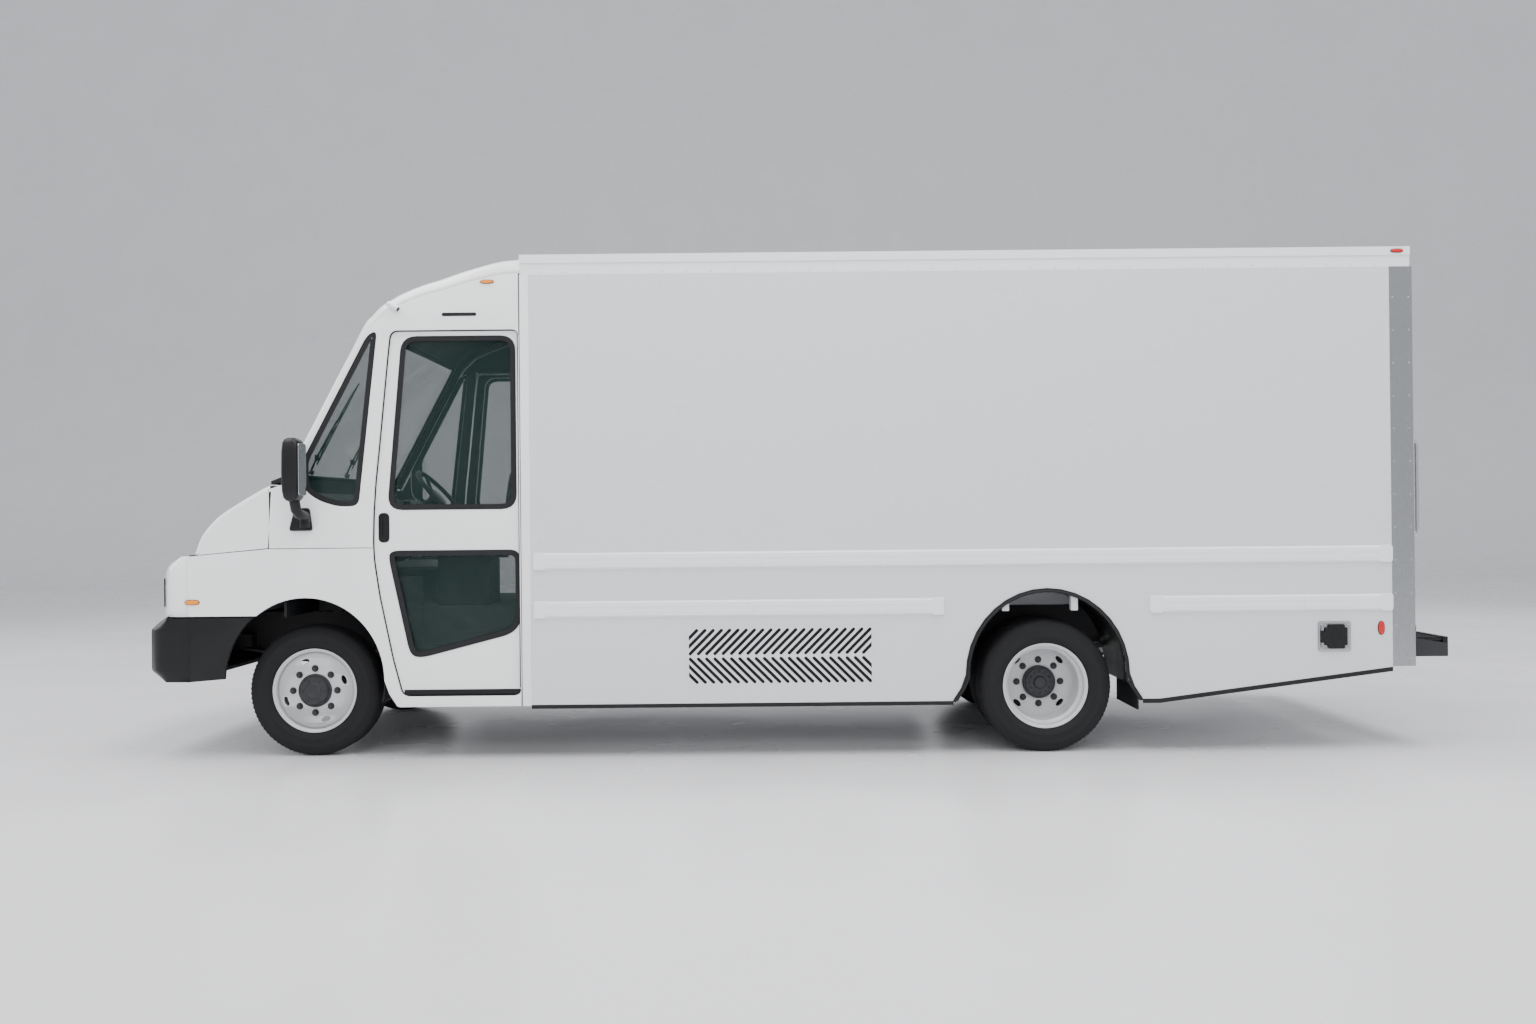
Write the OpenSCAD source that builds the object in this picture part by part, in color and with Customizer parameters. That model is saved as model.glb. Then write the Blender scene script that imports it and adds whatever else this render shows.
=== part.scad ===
// Electric walk-in mail delivery truck, driver's side at -Y, nose at -X.
// The origin is on the ground under the middle of the truck.

/* [Overall] */
// Distance between the front and rear axles
wheelbase = 4521; // [4100:1:5500]
// Front axle to the foremost point of the bumper
front_overhang = 1085; // [1000:1:1300]
// Rear axle to the rear edge of the step bumper
rear_overhang = 2490; // [2100:1:3000]
// Width over the body sides
body_w = 2438; // [2300:1:2930]
// Height of the roof rails above the ground
roof_h = 3070; // [2560:1:3700]
// Height of the cargo and cab floors
floor_h = 900; // [860:1:960]

/* [Panels] */
// Thickness of the side panels
skin_t = 22; // [18:1:27]
// Thickness of the floors and of the cargo roof
deck_t = 30; // [24:1:36]
// Thickness of the sliding and rear doors
door_t = 35; // [29:1:42]
// Thickness of the glass
glass_t = 6; // [5:0.5:8]
// Running gap between moving panels
gap = 7; // [5:1:9]
// Height of the body's lower edge
sill_z = 321; // [300:1:350]
// Depth of the stepped roof rails
rail_h = 122; // [100:1:146]
// Height of the fenders above the ground at the hood gap
fender_z = 1250; // [1240:1:1260]

/* [Doorways] */
// Bottom of the sliding cab doors
door_z0 = 389; // [380:1:420]
// Top of the sliding cab doors
door_z1 = 2613; // [2450:1:2640]
// Travel of the sliding cab doors
door_travel = 720; // [600:1:740]
// Width of the passage through the bulkhead
passage_w = 760; // [633:1:912]
// Width of the rear corner posts
post_w = 100; // [84:1:120]
// Fore and aft depth of the rear corner posts
post_d = 140; // [117:1:168]

/* [Wheels] */
// Outer radius of the tyres
tyre_r = 405; // [385:1:420]
// Width of a tyre
tyre_w = 226; // [190:1:245]
// Radius of the rim flanges
rim_r = 261; // [235:1:285]
// Radius of the circle of wheel nuts
stud_r = 137.5; // [120:0.5:150]
// Outer face of the front tyres from the centre line
front_face_y = 1075; // [1040:1:1100]
// Outer face of the rear tyres from the centre line
rear_face_y = 1170; // [1150:1:1190]
// Centre distance of a pair of dual tyres
dual_pitch = 275; // [250:1:300]

/* [Chassis] */
// Half of the width over the frame rails
frame_y = 432; // [400:1:460]
// Depth of the frame rails
frame_h = 250; // [210:1:270]
// Flange width of the frame rails
frame_b = 80; // [66:1:96]
// Wall of the frame rails
frame_t = 9; // [8:0.5:11]
// Width of the leaf springs
spring_w = 70; // [60:1:80]

/* [Cab fittings] */
// Driver's seat and steering wheel from the centre line
driver_y = 450; // [400:1:500]
// Diameter of the steering wheel
wheel_d = 450; // [400:1:480]
// Width of the driver's seat
seat_w = 500; // [420:1:560]
// Fore and aft travel of the seat
seat_travel = 150; // [100:1:170]

/* [Hidden] */
$fn = 64;

hw = body_w / 2;
x_front = -(front_overhang + wheelbase + rear_overhang) / 2;
axle_f = x_front + front_overhang;
axle_r = axle_f + wheelbase;
x_rear = axle_r + rear_overhang;
clear = 0.3;

// Fore and aft stations.
cab_end = axle_f + 1323;
panel_x0 = cab_end + 55;
post_x1 = x_rear - 248;
post_x0 = post_x1 - post_d;

// Cross sections, from the outer skin inwards.
skin_y = hw - skin_t;
door_y1 = skin_y - gap;
door_y0 = door_y1 - door_t;
inner_y = door_y0 - gap;
inner_post_y = hw - post_w;

// Heights.
belt_z = 1729;
drawn_roof = 3070;
rail_z0 = roof_h - rail_h;
roof_z1 = roof_h - 15;
roof_z0 = roof_z1 - deck_t;
floor_z0 = floor_h - deck_t;
frame_z1 = floor_z0 - 20;
frame_z0 = frame_z1 - frame_h;
track_t = 34;

// Heights above the belt line follow the roof.
function up(z) = z <= belt_z ? z : belt_z + (z - belt_z) * (roof_h - belt_z) / (drawn_roof - belt_z);
function near_axle(points) = [for (p = points) [axle_f + p[0], up(p[1])]];
function reversed(v) = [for (i = [len(v) - 1:-1:0]) v[i]];

// A flat shape drawn in X and Z, spread from y0 to y1.
module slab(y0, y1) {
    translate([0, y1, 0]) rotate([90, 0, 0]) linear_extrude(y1 - y0) children();
}

// A flat shape drawn in Y and Z, spread from x0 to x1.
module span(x0, x1) {
    translate([x0, 0, 0]) rotate([90, 0, 90]) linear_extrude(x1 - x0) children();
}

module block(x0, x1, y0, y1, z0, z1) {
    translate([x0, y0, z0]) cube([x1 - x0, y1 - y0, z1 - z0]);
}

module rect(x0, x1, z0, z1) {
    translate([x0, z0]) square([x1 - x0, z1 - z0]);
}

// A cylinder along Y from y0 to y1.
module bar_y(x, z, r, y0, y1) {
    translate([x, y1, z]) rotate([90, 0, 0]) cylinder(r = r, h = y1 - y0);
}

module on_right() { mirror([0, 1, 0]) children(); }

module both_sides() {
    children();
    on_right() children();
}

// Rounded rectangle between two corners.
function arc(x, z, r, from, to, n = 6) =
    [for (i = [0:n]) let (a = from + (to - from) * i / n) [x + r * cos(a), z + r * sin(a)]];
module rounded(x0, x1, z0, z1, r) {
    polygon(concat(arc(x0 + r, z0 + r, r, 180, 270), arc(x1 - r, z0 + r, r, 270, 360),
        arc(x1 - r, z1 - r, r, 0, 90), arc(x0 + r, z1 - r, r, 90, 180)));
}

// Wheel arch opening about an axle, with its lower ends flared.
arch_a = 482;
arch_b = 508;
arch_z = 483;
module arch(x) {
    polygon(concat([[x - 600, 0], [x - 560, 326], [x - 512, 400]],
        [for (a = [180:-10:0]) [x + arch_a * cos(a), arch_z + arch_b * sin(a)]],
        [[x + 512, 400], [x + 560, 326], [x + 600, 0]]));
}

// Plan curve of the front end: x grows with the fourth power of y.
nose_sweep = 150;
bumper_t = 60;
function front_curve(centre, half, n = 16) = [for (i = [-n:n]) let (y = half * i / n)
    [axle_f + centre + nose_sweep * pow(abs(y) / hw, 4), y]];
module front_band(centre, depth, half) {
    polygon(concat(front_curve(centre, half), reversed(front_curve(centre + depth, half))));
}

// ---- Outlines of the cab, drawn from the front axle ----
screen_base = [-145, 1729];
screen_top = [354, 2673];
roof_line = [screen_base, screen_top, [403, 2727], [464, 2787], [525, 2823], [586, 2856],
    [708, 2906], [829, 2941], [951, 2982], [1073, 3017], [1195, 3050], [1323, 3062]];
hood_line = [[-693, 1256], [-663, 1340], [-632, 1400], [-571, 1473], [-510, 1527],
    [-389, 1605], [-267, 1676], [-221, 1698]];
door_front = [[534, door_z1], [516, 2464], [462, 1929], [435, 1679], [423, 1499],
    [418, 1320], [423, 1214], [454, 999], [498, 783], [534, 606], [569, 476], [591, door_z0]];
door_rear = 1313;

module door_outline() {
    polygon(near_axle(concat(door_front, [[door_rear, door_z0], [door_rear, door_z1]])));
}

// Glass openings of a cab door: a tall upper one and a raked lower one.
module door_windows() {
    offset(delta = 40) offset(delta = -40) {
        polygon(near_axle([[604, 2575], [510, 1530], [1283, 1530], [1283, 2575]]));
        polygon(near_axle([[519, 1265], [519, 1210], [641, 640], [704, 626], [1249, 765],
            [1306, 830], [1306, 1265]]));
    }
}

// ---- Chassis ----
rail_x0 = x_front + bumper_t + nose_sweep * pow(frame_y / hw, 4) + 0.4;
rail_x1 = x_rear - 240;
spring_y0 = frame_y + 8;
spring_y1 = spring_y0 + spring_w;
spring_half = 680;
pack_x0 = cab_end + 80;
pack_x1 = axle_r - 700;
pack_z0 = frame_z0 - 170;

module channel_rail() {
    difference() {
        block(rail_x0, rail_x1, frame_y - frame_b, frame_y, frame_z0, frame_z1);
        block(rail_x0 - 1, rail_x1 + 1, frame_y - frame_b - 1, frame_y - frame_t,
            frame_z0 + frame_t, frame_z1 - frame_t);
    }
}

// Ears outside the rail that hold the end of a leaf spring, and its eye pin.
module spring_hanger(x) {
    block(x - 50, x + 50, frame_y, spring_y1 + 12, frame_z0 + 30, frame_z0 + 110);
}

module cross_member(x) {
    inner = frame_y - frame_t;
    block(x - 45, x + 45, -inner, inner, frame_z0 + 60, frame_z1 - 60);
}

module chassis_frame() {
    color([0.10, 0.10, 0.11]) {
        both_sides() channel_rail();
        for (x = [axle_f - 560, axle_f + 760, axle_r - 640, axle_r + 620, axle_r + 1500])
            cross_member(x);
        both_sides() for (x = [axle_f, axle_r], s = [-1, 1])
            spring_hanger(x + s * (spring_half - 30));
    }
}

// One pack hangs outside each rail and one lies between the rails.
module battery_packs() {
    color([0.30, 0.32, 0.34]) {
        both_sides() block(pack_x0, pack_x1, frame_y, inner_y - 60, pack_z0, frame_z1);
        block(pack_x0 + 150, pack_x1 - 250, -frame_y + frame_b, frame_y - frame_b,
            pack_z0 + 60, frame_z1);
    }
}

tube_r = 58;
half_shaft_r = 22;
housing_y = rear_face_y - tyre_w / 2 - dual_pitch / 2 - 24;
casing_w = 300;
module rear_drive_axle() {
    color([0.13, 0.13, 0.14]) difference() {
        union() {
            bar_y(axle_r, tyre_r, tube_r, -housing_y, housing_y);
            bar_y(axle_r, tyre_r, 165, -casing_w / 2, casing_w / 2);
            bar_y(axle_r - 230, tyre_r + 10, 125, -casing_w / 2 - 60, casing_w / 2 + 60);
            block(axle_r - 230, axle_r, -casing_w / 2, casing_w / 2, tyre_r - 110, tyre_r + 110);
            both_sides() block(axle_r - 60, axle_r + 60, spring_y0, spring_y1,
                tyre_r, tyre_r + tube_r + 12);
        }
        bar_y(axle_r, tyre_r, half_shaft_r + 0.5, -housing_y - 1, housing_y + 1);
    }
}

king_y = 900;
king_r = 20;
boss_h = 60;
module front_axle_beam() {
    color([0.13, 0.13, 0.14]) difference() {
        union() {
            block(axle_f - 45, axle_f + 45, -king_y, king_y, tyre_r - 30, tyre_r + 30);
            both_sides() translate([axle_f, king_y, tyre_r - boss_h])
                cylinder(r = 45, h = 2 * boss_h);
            both_sides() block(axle_f - 60, axle_f + 60, spring_y0, spring_y1,
                tyre_r, tyre_r + tube_r + 12);
        }
        both_sides() translate([axle_f, king_y, 0]) cylinder(r = king_r + 0.05, h = 1000);
    }
}

// Stacked leaves in one arc: each leaf is shorter than the one above it.
leaf_t = 14;
leaf_rise = 68;
leaf_spans = [1, 0.78, 0.56, 0.34, 0];
function leaf_z(x) = leaf_rise * pow(x / spring_half, 2);
function leaf_steps(side) = [for (i = [0:3], k = [0:3])
    let (x = spring_half * (leaf_spans[i] + (leaf_spans[i + 1] - leaf_spans[i]) * k / 3))
    [side * x, leaf_z(x) - leaf_t * (i + 1)]];
function without_last(v) = [for (i = [0:len(v) - 2]) v[i]];
module leaf_outline() {
    polygon(concat([for (i = [-12:12]) let (x = spring_half * i / 12) [x, leaf_z(x)]],
        without_last(leaf_steps(1)), reversed(leaf_steps(-1))));
}
module leaf_pack(x) {
    top = frame_z0 + 30 - leaf_rise;
    translate([x, 0, top]) slab(spring_y0, spring_y1) leaf_outline();
    seat_z = tyre_r + tube_r + 12;
    block(x - 50, x + 50, spring_y0, spring_y1, seat_z, top - leaf_t * 4 + 1);
}
module leaf_springs() {
    color([0.16, 0.16, 0.17]) both_sides() {
        leaf_pack(axle_f);
        leaf_pack(axle_r);
    }
}

// ---- Front wheels: modelled on the left, at -Y ----
spindle_r = 30;
module knuckle() {
    color([0.25, 0.25, 0.26]) translate([axle_f, -king_y, 0]) {
        translate([0, 0, tyre_r - boss_h - 30]) cylinder(r = king_r, h = 2 * boss_h + 60);
        for (z = [tyre_r - boss_h - 31, tyre_r + boss_h + 1])
            block(-45, 45, -60, 30, z, z + 30);
        block(-45, 45, -80, -60, tyre_r - boss_h - 31, tyre_r + boss_h + 31);
        bar_y(0, tyre_r, spindle_r, king_y - front_face_y + 10, -80);
        block(20, tie_x + 25, -20, 20, tyre_r - boss_h - 31, tyre_r - boss_h - 11);
    }
}
tie_x = 150;
tie_y = king_y;
module steering_knuckle_left() { knuckle(); }
module steering_knuckle_right() { on_right() knuckle(); }

// The rod lies just under the steering arms.
module tie_rod() {
    z = tyre_r - boss_h - 31 - clear;
    color([0.2, 0.2, 0.21]) {
        bar_y(axle_f + tie_x, z - 16, 14, -tie_y, tie_y);
        both_sides() translate([axle_f + tie_x, tie_y, z - 32]) cylinder(r = 17, h = 32);
    }
}

// A rim as a ring: flange, bead seat, well and bead seat, about the wheel's axis.
// Its disc lies at disc_at and meets the ring at edge_at.
rim_w = 185;
disc_t = 12;
module rim_ring(disc_at, edge_at) {
    w = rim_w / 2;
    rotate_extrude() {
        polygon([[rim_r, -w], [rim_r, -w + 10], [rim_r - 13, -w + 12], [rim_r - 15, -40],
            [rim_r - 32, -25], [rim_r - 32, 25], [rim_r - 15, 40], [rim_r - 13, w - 12],
            [rim_r, w - 10], [rim_r, w], [rim_r - 8, w], [rim_r - 22, w - 12],
            [rim_r - 24, 42], [rim_r - 41, 28], [rim_r - 41, -28], [rim_r - 24, -42],
            [rim_r - 22, -w + 12], [rim_r - 8, -w]]);
        polygon([[hub_r, disc_at], [170, disc_at], [rim_r - 20, edge_at],
            [rim_r - 20, edge_at + disc_t], [170, disc_at + disc_t],
            [hub_r, disc_at + disc_t]]);
    }
}
hub_r = 104;

// Four hand holes through a disc.
module hand_holes() {
    for (a = [45:90:315]) rotate(a) translate([196, 0, -200]) cylinder(r = 21, h = 400);
}

module nut_circle(z, h) {
    for (a = [22.5:45:359]) rotate(a) translate([stud_r, 0, z]) cylinder(r = 17, h = h);
}

// Turned so that the outer face of a left wheel looks to -Y.
module wheel_at(x, y) { translate([x, y, tyre_r]) rotate([-90, 0, 0]) children(); }

module tyre() {
    w = tyre_w / 2;
    bead = rim_r - 13;
    rotate_extrude($fn = 96) polygon([[bead + 0.2, -rim_w / 2 + 13],
        [rim_r + 0.6, -rim_w / 2 + 11.5], [bead + 22, -w + 18],
        [bead + 60, -w], [tyre_r - 52, -w + 3], [tyre_r - 12, -w + 16], [tyre_r, -w + 34],
        [tyre_r, w - 34], [tyre_r - 12, w - 16], [tyre_r - 52, w - 3], [bead + 60, w],
        [bead + 22, w - 18], [rim_r + 0.6, rim_w / 2 - 11.5],
        [bead + 0.2, rim_w / 2 - 13]]);
}

// Rim with its disc near the outer flange, hub barrel on the spindle, nuts and cap.
module front_wheel() {
    y = -front_face_y + tyre_w / 2;
    disc = -rim_w / 2 + 14;
    color("silver") wheel_at(axle_f, y) difference() {
        rim_ring(disc, disc + 24);
        hand_holes();
    }
    color("dimgray") wheel_at(axle_f, y) {
        difference() {
            union() {
                translate([0, 0, disc - 40]) cylinder(r = hub_r, h = 50);
                translate([0, 0, disc + 12]) cylinder(r = 165, h = 12);
            }
            translate([0, 0, disc + 2]) cylinder(r = spindle_r + 0.3, h = 40);
            translate([0, 0, disc - 34]) cylinder(r = 80, h = 36);
        }
        nut_circle(disc - 26, 26);
    }
}
module front_wheel_left() { front_wheel(); }
module front_wheel_right() { on_right() front_wheel(); }
module front_tyre() {
    color([0.05, 0.05, 0.05]) wheel_at(axle_f, -front_face_y + tyre_w / 2) tyre();
}
module front_tyre_left() { front_tyre(); }
module front_tyre_right() { on_right() front_tyre(); }

// ---- Rear wheels: two rims bolted disc to disc, and the half shaft ----
dual_y = -rear_face_y + tyre_w / 2 + dual_pitch / 2;
shaft_end_y = 110;
module dual_rim() {
    difference() {
        translate([0, 0, -dual_pitch / 2]) rim_ring(dual_pitch / 2 - disc_t, 50);
        hand_holes();
    }
}
module rear_wheels() {
    color("silver") wheel_at(axle_r, dual_y) {
        dual_rim();
        mirror([0, 0, 1]) dual_rim();
    }
    color("gray") wheel_at(axle_r, dual_y) {
        difference() {
            translate([0, 0, -70]) cylinder(r = hub_r, h = 130);
            translate([0, 0, 20]) cylinder(r = tube_r + clear, h = 60);
        }
        translate([0, 0, -82]) cylinder(r = 88, h = 12);
        translate([0, 0, 19]) cylinder(r = half_shaft_r, h = -dual_y - shaft_end_y - 19);
        nut_circle(-disc_t - 26, 26);
    }
}
module rear_wheels_left() { rear_wheels(); }
module rear_wheels_right() { on_right() rear_wheels(); }
module rear_tyres() {
    color([0.05, 0.05, 0.05]) wheel_at(axle_r, dual_y)
        for (s = [-1, 1]) translate([0, 0, s * dual_pitch / 2]) tyre();
}
module rear_tyres_left() { rear_tyres(); }
module rear_tyres_right() { on_right() rear_tyres(); }

// ---- Cargo body ----
box_top = 1010;
box_half = 560;
wheel_box_y = 640;
module cargo_floor() {
    wall = 12;
    color([0.45, 0.46, 0.47]) {
        difference() {
            block(cab_end, post_x0, -inner_y, inner_y, floor_z0, floor_h);
            both_sides() block(axle_r - box_half, axle_r + box_half, wheel_box_y, inner_y + 1,
                floor_z0 - 1, floor_h + 1);
        }
        // Wheel boxes over the dual tyres, open below and outwards.
        both_sides() difference() {
            block(axle_r - box_half, axle_r + box_half, wheel_box_y, inner_y, floor_z0, box_top);
            block(axle_r - box_half + wall, axle_r + box_half - wall, wheel_box_y + wall,
                inner_y + 1, floor_z0 - 1, box_top - wall);
        }
        // Bearers that carry the floor on the frame rails.
        for (x = [cab_end + 300:600:axle_r - 650])
            block(x - 30, x + 30, -inner_y, inner_y, frame_z1, floor_z0);
        for (x = [axle_r + 700:500:post_x0 - 60])
            block(x - 30, x + 30, -inner_y, inner_y, frame_z1, floor_z0);
    }
}

vent_x0 = axle_f + 2323;
vent_x1 = vent_x0 + 1142;
vent_z0 = 430;
vent_z1 = 794;
tail_rise = 180;
sill_end = axle_r + 681;
module cargo_side_outline() {
    polygon([[cab_end, sill_z], [sill_end, sill_z], [post_x0, sill_z + tail_rise],
        [post_x0, rail_z0], [cab_end, rail_z0]]);
}
stud_pitch = 420;
module cargo_side(vented) {
    color([0.86, 0.88, 0.88]) {
        slab(-hw, -skin_y) difference() {
            cargo_side_outline();
            arch(axle_r);
            if (vented) rect(vent_x0, vent_x1, vent_z0, vent_z1);
        }
        // Wall studs aft of the pocket that the cab door slides into.
        for (x = [cab_end + door_travel + 110:stud_pitch:post_x0 - 40])
            block(x, x + 40, -skin_y, -inner_y, floor_z0, rail_z0);
    }
}
module cargo_side_left() { cargo_side(true); }
module cargo_side_right() { on_right() cargo_side(false); }

module cargo_roof() {
    color([0.88, 0.89, 0.89]) {
        block(cab_end, post_x1, -inner_y, inner_y, roof_z0, roof_z1);
        for (x = [cab_end + 300:600:post_x0 - 60])
            block(x, x + 40, -inner_y, inner_y, roof_z0 - 30, roof_z0);
    }
}

// A stepped extrusion along each upper edge of the body.
module roof_rails() {
    cap = rail_h * 0.42;
    color([0.93, 0.94, 0.94]) both_sides() {
        span(cab_end, post_x1 - 10) polygon([[inner_y, rail_z0], [hw - 8, rail_z0],
            [hw - 8, roof_h - cap], [hw, roof_h - cap], [hw, roof_h], [inner_y, roof_h]]);
    }
}

rub_t = 14;
upper_rub = [1150, 1250];
lower_rub = [855, 955];
module rub_rail(x0, x1, z) {
    span(x0, x1) polygon([[hw, z[0]], [hw + rub_t, z[0] + 12], [hw + rub_t, z[1] - 12],
        [hw, z[1]]]);
}
module rub_rails() {
    color([0.93, 0.94, 0.94]) both_sides() {
        rub_rail(panel_x0 + 20, post_x0, upper_rub);
        rub_rail(panel_x0 + 20, axle_r - 640, lower_rub);
        rub_rail(axle_r + 626, post_x0, lower_rub);
    }
}

// Black edge strips: round the rear arches and along the lower edge, and mud flaps.
trim_w = 18;
module arch_strip(x) {
    difference() {
        offset(delta = trim_w) arch(x);
        arch(x);
        rect(x - 700, x + 700, -50, sill_z);
    }
}
module lower_trims() {
    color([0.06, 0.06, 0.06]) both_sides() {
        slab(hw, hw + 6) arch_strip(axle_r);
        slab(skin_y - 10, hw) rect(panel_x0, axle_r - 585, sill_z - trim_w, sill_z);
        slab(skin_y - 10, hw) polygon([[sill_end - 30, sill_z - trim_w],
            [sill_end, sill_z - trim_w], [post_x0, sill_z + tail_rise - trim_w],
            [post_x0, sill_z + tail_rise], [sill_end, sill_z], [sill_end - 30, sill_z]]);
        block(axle_r + 560, axle_r + 572, wheel_box_y + 40, inner_y, 254, floor_z0);
    }
}

// Side vent with two rows of slanting slots.
slot_pitch = 50.3;
slot_w = 20;
slot_l = 200;
vent_rim = 14;
module slot(x, z, lean) {
    translate([x, z]) rotate(lean) {
        square([slot_l, slot_w], center = true);
        for (s = [-1, 1]) translate([s * slot_l / 2, 0]) circle(d = slot_w, $fn = 24);
    }
}
module vent_grille() {
    mid = (vent_z0 + vent_z1) / 2;
    row = 87;
    color([0.90, 0.91, 0.91]) slab(-hw + 2, -hw + 12) difference() {
        rect(vent_x0, vent_x1, vent_z0, vent_z1);
        intersection() {
            rect(vent_x0 + vent_rim, vent_x1 - vent_rim, vent_z0 + vent_rim, vent_z1 - vent_rim);
            for (x = [vent_x0 - 8:slot_pitch:vent_x1 + 8]) {
                slot(x, mid + row, 45);
                slot(x, mid - row, -45);
            }
        }
    }
}

// ---- Rear end ----
rear_door_z0 = floor_h + 5;
rear_door_z1 = rail_z0 - 150;
hinge_x = post_x1 + 14;
hinge_r = 11;
pin_r = 6;
hinge_zs = [floor_h + 200, (floor_h + rail_z0) / 2, rail_z0 - 400];
barrel_h = 100;
module hinge_lugs(y) {
    for (z = hinge_zs) {
        for (z0 = [z - barrel_h / 2 - 31, z + barrel_h / 2 + 1]) {
            translate([hinge_x, y, z0]) cylinder(r = hinge_r, h = 30);
            block(post_x1 - 1, hinge_x, y, y + 40, z0, z0 + 30);
        }
        translate([hinge_x, y, z - barrel_h / 2 - 31]) cylinder(r = pin_r, h = barrel_h + 62);
    }
}
hinge_y = inner_post_y - 6;
module rear_frame() {
    color([0.78, 0.80, 0.82]) {
        both_sides() {
            block(post_x0, post_x1, inner_post_y, hw, sill_z + tail_rise + 12, rail_z0);
            hinge_lugs(hinge_y);
        }
        block(post_x0, post_x1, -inner_post_y, inner_post_y, rear_door_z1 + 5, rail_z0);
        block(post_x0, post_x1, -inner_post_y, inner_post_y, frame_z1, floor_h);
        block(post_x0, post_x1, -inner_y, inner_y, rail_z0, roof_z0);
    }
}

module rear_step() {
    color([0.07, 0.07, 0.07]) {
        difference() {
            block(x_rear - 234, x_rear, -inner_post_y, inner_post_y, 560, 680);
            block(x_rear - 190, x_rear - 30, -inner_post_y - 1, inner_post_y + 1, 600, 681);
        }
        both_sides() block(rail_x1 - 150, x_rear - 190, 250, frame_y - frame_b,
            600, frame_z1 - 20);
    }
}

// One rear door, hinged at its outer edge; both meet at the centre line.
module rear_door() {
    x1 = post_x1 - 2;
    color([0.90, 0.91, 0.91]) difference() {
        union() {
            block(x1 - door_t, x1, -hinge_y + 6, -2, rear_door_z0, rear_door_z1);
            for (z = hinge_zs) {
                translate([hinge_x, -hinge_y, z - barrel_h / 2])
                    cylinder(r = hinge_r, h = barrel_h);
                block(x1 - 1, hinge_x, -hinge_y, -hinge_y + 60, z - barrel_h / 2,
                    z + barrel_h / 2);
            }
        }
        for (z = hinge_zs) translate([hinge_x, -hinge_y, z - barrel_h / 2 - 1])
            cylinder(r = pin_r + 0.1, h = barrel_h + 2);
    }
}
latch_x = post_x1 + 16;
latch_y = 70;
latch_r = 9;
latch_zs = [rear_door_z0 + 60, 1330, 1900, rear_door_z1 - 60];
module rear_door_left() { rear_door(); }
module rear_door_right() {
    on_right() rear_door();
    // Guides for the lock rod.
    color("silver") for (z = latch_zs) difference() {
        block(post_x1 - 3, latch_x + 16, latch_y - 16, latch_y + 16, z, z + 30);
        translate([latch_x, latch_y, z - 1]) cylinder(r = latch_r + 0.1, h = 32);
    }
}
module rear_latch() {
    color("silver") {
        translate([latch_x, latch_y, rear_door_z0 + 20])
            cylinder(r = latch_r, h = rear_door_z1 - rear_door_z0 - 40);
        block(latch_x - 6, latch_x + 6, latch_y, latch_y + 190, 1400, 1424);
    }
}

// ---- Bulkhead between the cab and the cargo hold ----
passage_y0 = -passage_w / 2;
passage_z1 = floor_h + 1900;
bulk_x = cab_end + 2;
module bulkhead() {
    color([0.80, 0.81, 0.80]) {
        span(bulk_x, bulk_x + 30) difference() {
            rect(-inner_y, inner_y, floor_h, roof_z0 - 2);
            rect(passage_y0, -passage_y0, floor_h - 1, passage_z1);
        }
        block(bulk_x + 30, bulk_x + 90, passage_y0 - 80, inner_y - 40,
            passage_z1 + 60, passage_z1 + 72);
    }
}
module bulkhead_door() {
    color([0.72, 0.73, 0.72]) difference() {
        union() {
            block(bulk_x + 34, bulk_x + 64, passage_y0 - 30, -passage_y0 + 30,
                floor_h + clear, passage_z1 + 40);
            block(bulk_x + 34, bulk_x + 60, passage_y0, -passage_y0,
                passage_z1 + 39, passage_z1 + 60 - clear);
        }
        block(bulk_x + 30, bulk_x + 70, -160, 160, 1600, 2200);
    }
}

// ---- Cab ----
side_lap = 10;
seam_z = 1292;
hood_rear = -215;
footwell_y = 560;
step_x0 = axle_f + 600;
step_x1 = axle_f + 1300;
step_y1 = 760;
step_y2 = 960;
step_z1 = 650;
step_z2 = 420;

// Floor with a notch for each step well, and the step wells themselves.
module step_well() {
    t = 14;
    span(step_x0, step_x1) polygon([[step_y1, floor_h - 2], [step_y1, step_z1],
        [step_y2, step_z1], [step_y2, step_z2], [inner_y, step_z2],
        [inner_y, step_z2 - t], [step_y2 - t, step_z2 - t], [step_y2 - t, step_z1 - t],
        [step_y1 - t, step_z1 - t], [step_y1 - t, floor_h - 2]]);
    for (x = [step_x0 - t, step_x1])
        block(x, x + t, step_y1 - t, inner_y, step_z2 - t, floor_h);
}
module cab_floor() {
    color([0.22, 0.23, 0.24]) {
        difference() {
            union() {
                block(axle_f + 540, cab_end, -inner_y, inner_y, floor_z0, floor_h);
                block(fire_x + 16, axle_f + 540, -footwell_y, footwell_y, floor_z0, floor_h);
            }
            both_sides() block(step_x0 - 14, step_x1 + 14, step_y1 - 14, inner_y + 1,
                floor_z0 - 1, floor_h + 1);
        }
        both_sides() step_well();
        for (x = [axle_f - 60, axle_f + 1100])
            block(x - 30, x + 30, -frame_y, frame_y, frame_z1, floor_z0);
        // Inner walls and tops of the front wheel housings.
        both_sides() {
            block(fire_x + 16, axle_f + 540, footwell_y, footwell_y + 12, floor_z0, 1090);
            block(fire_x + 16, axle_f + 540, footwell_y + 12, inner_y, 1078, 1090);
            block(axle_f + 540, axle_f + 552, footwell_y, inner_y, floor_h, 1090);
        }
    }
}

module quarter_opening() {
    polygon(near_axle([[467, 2613], [348, 1547], [220, 1545], [99, 1585], [-5, 1647],
        [-17, 1830], [379, 2576]]));
}

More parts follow.
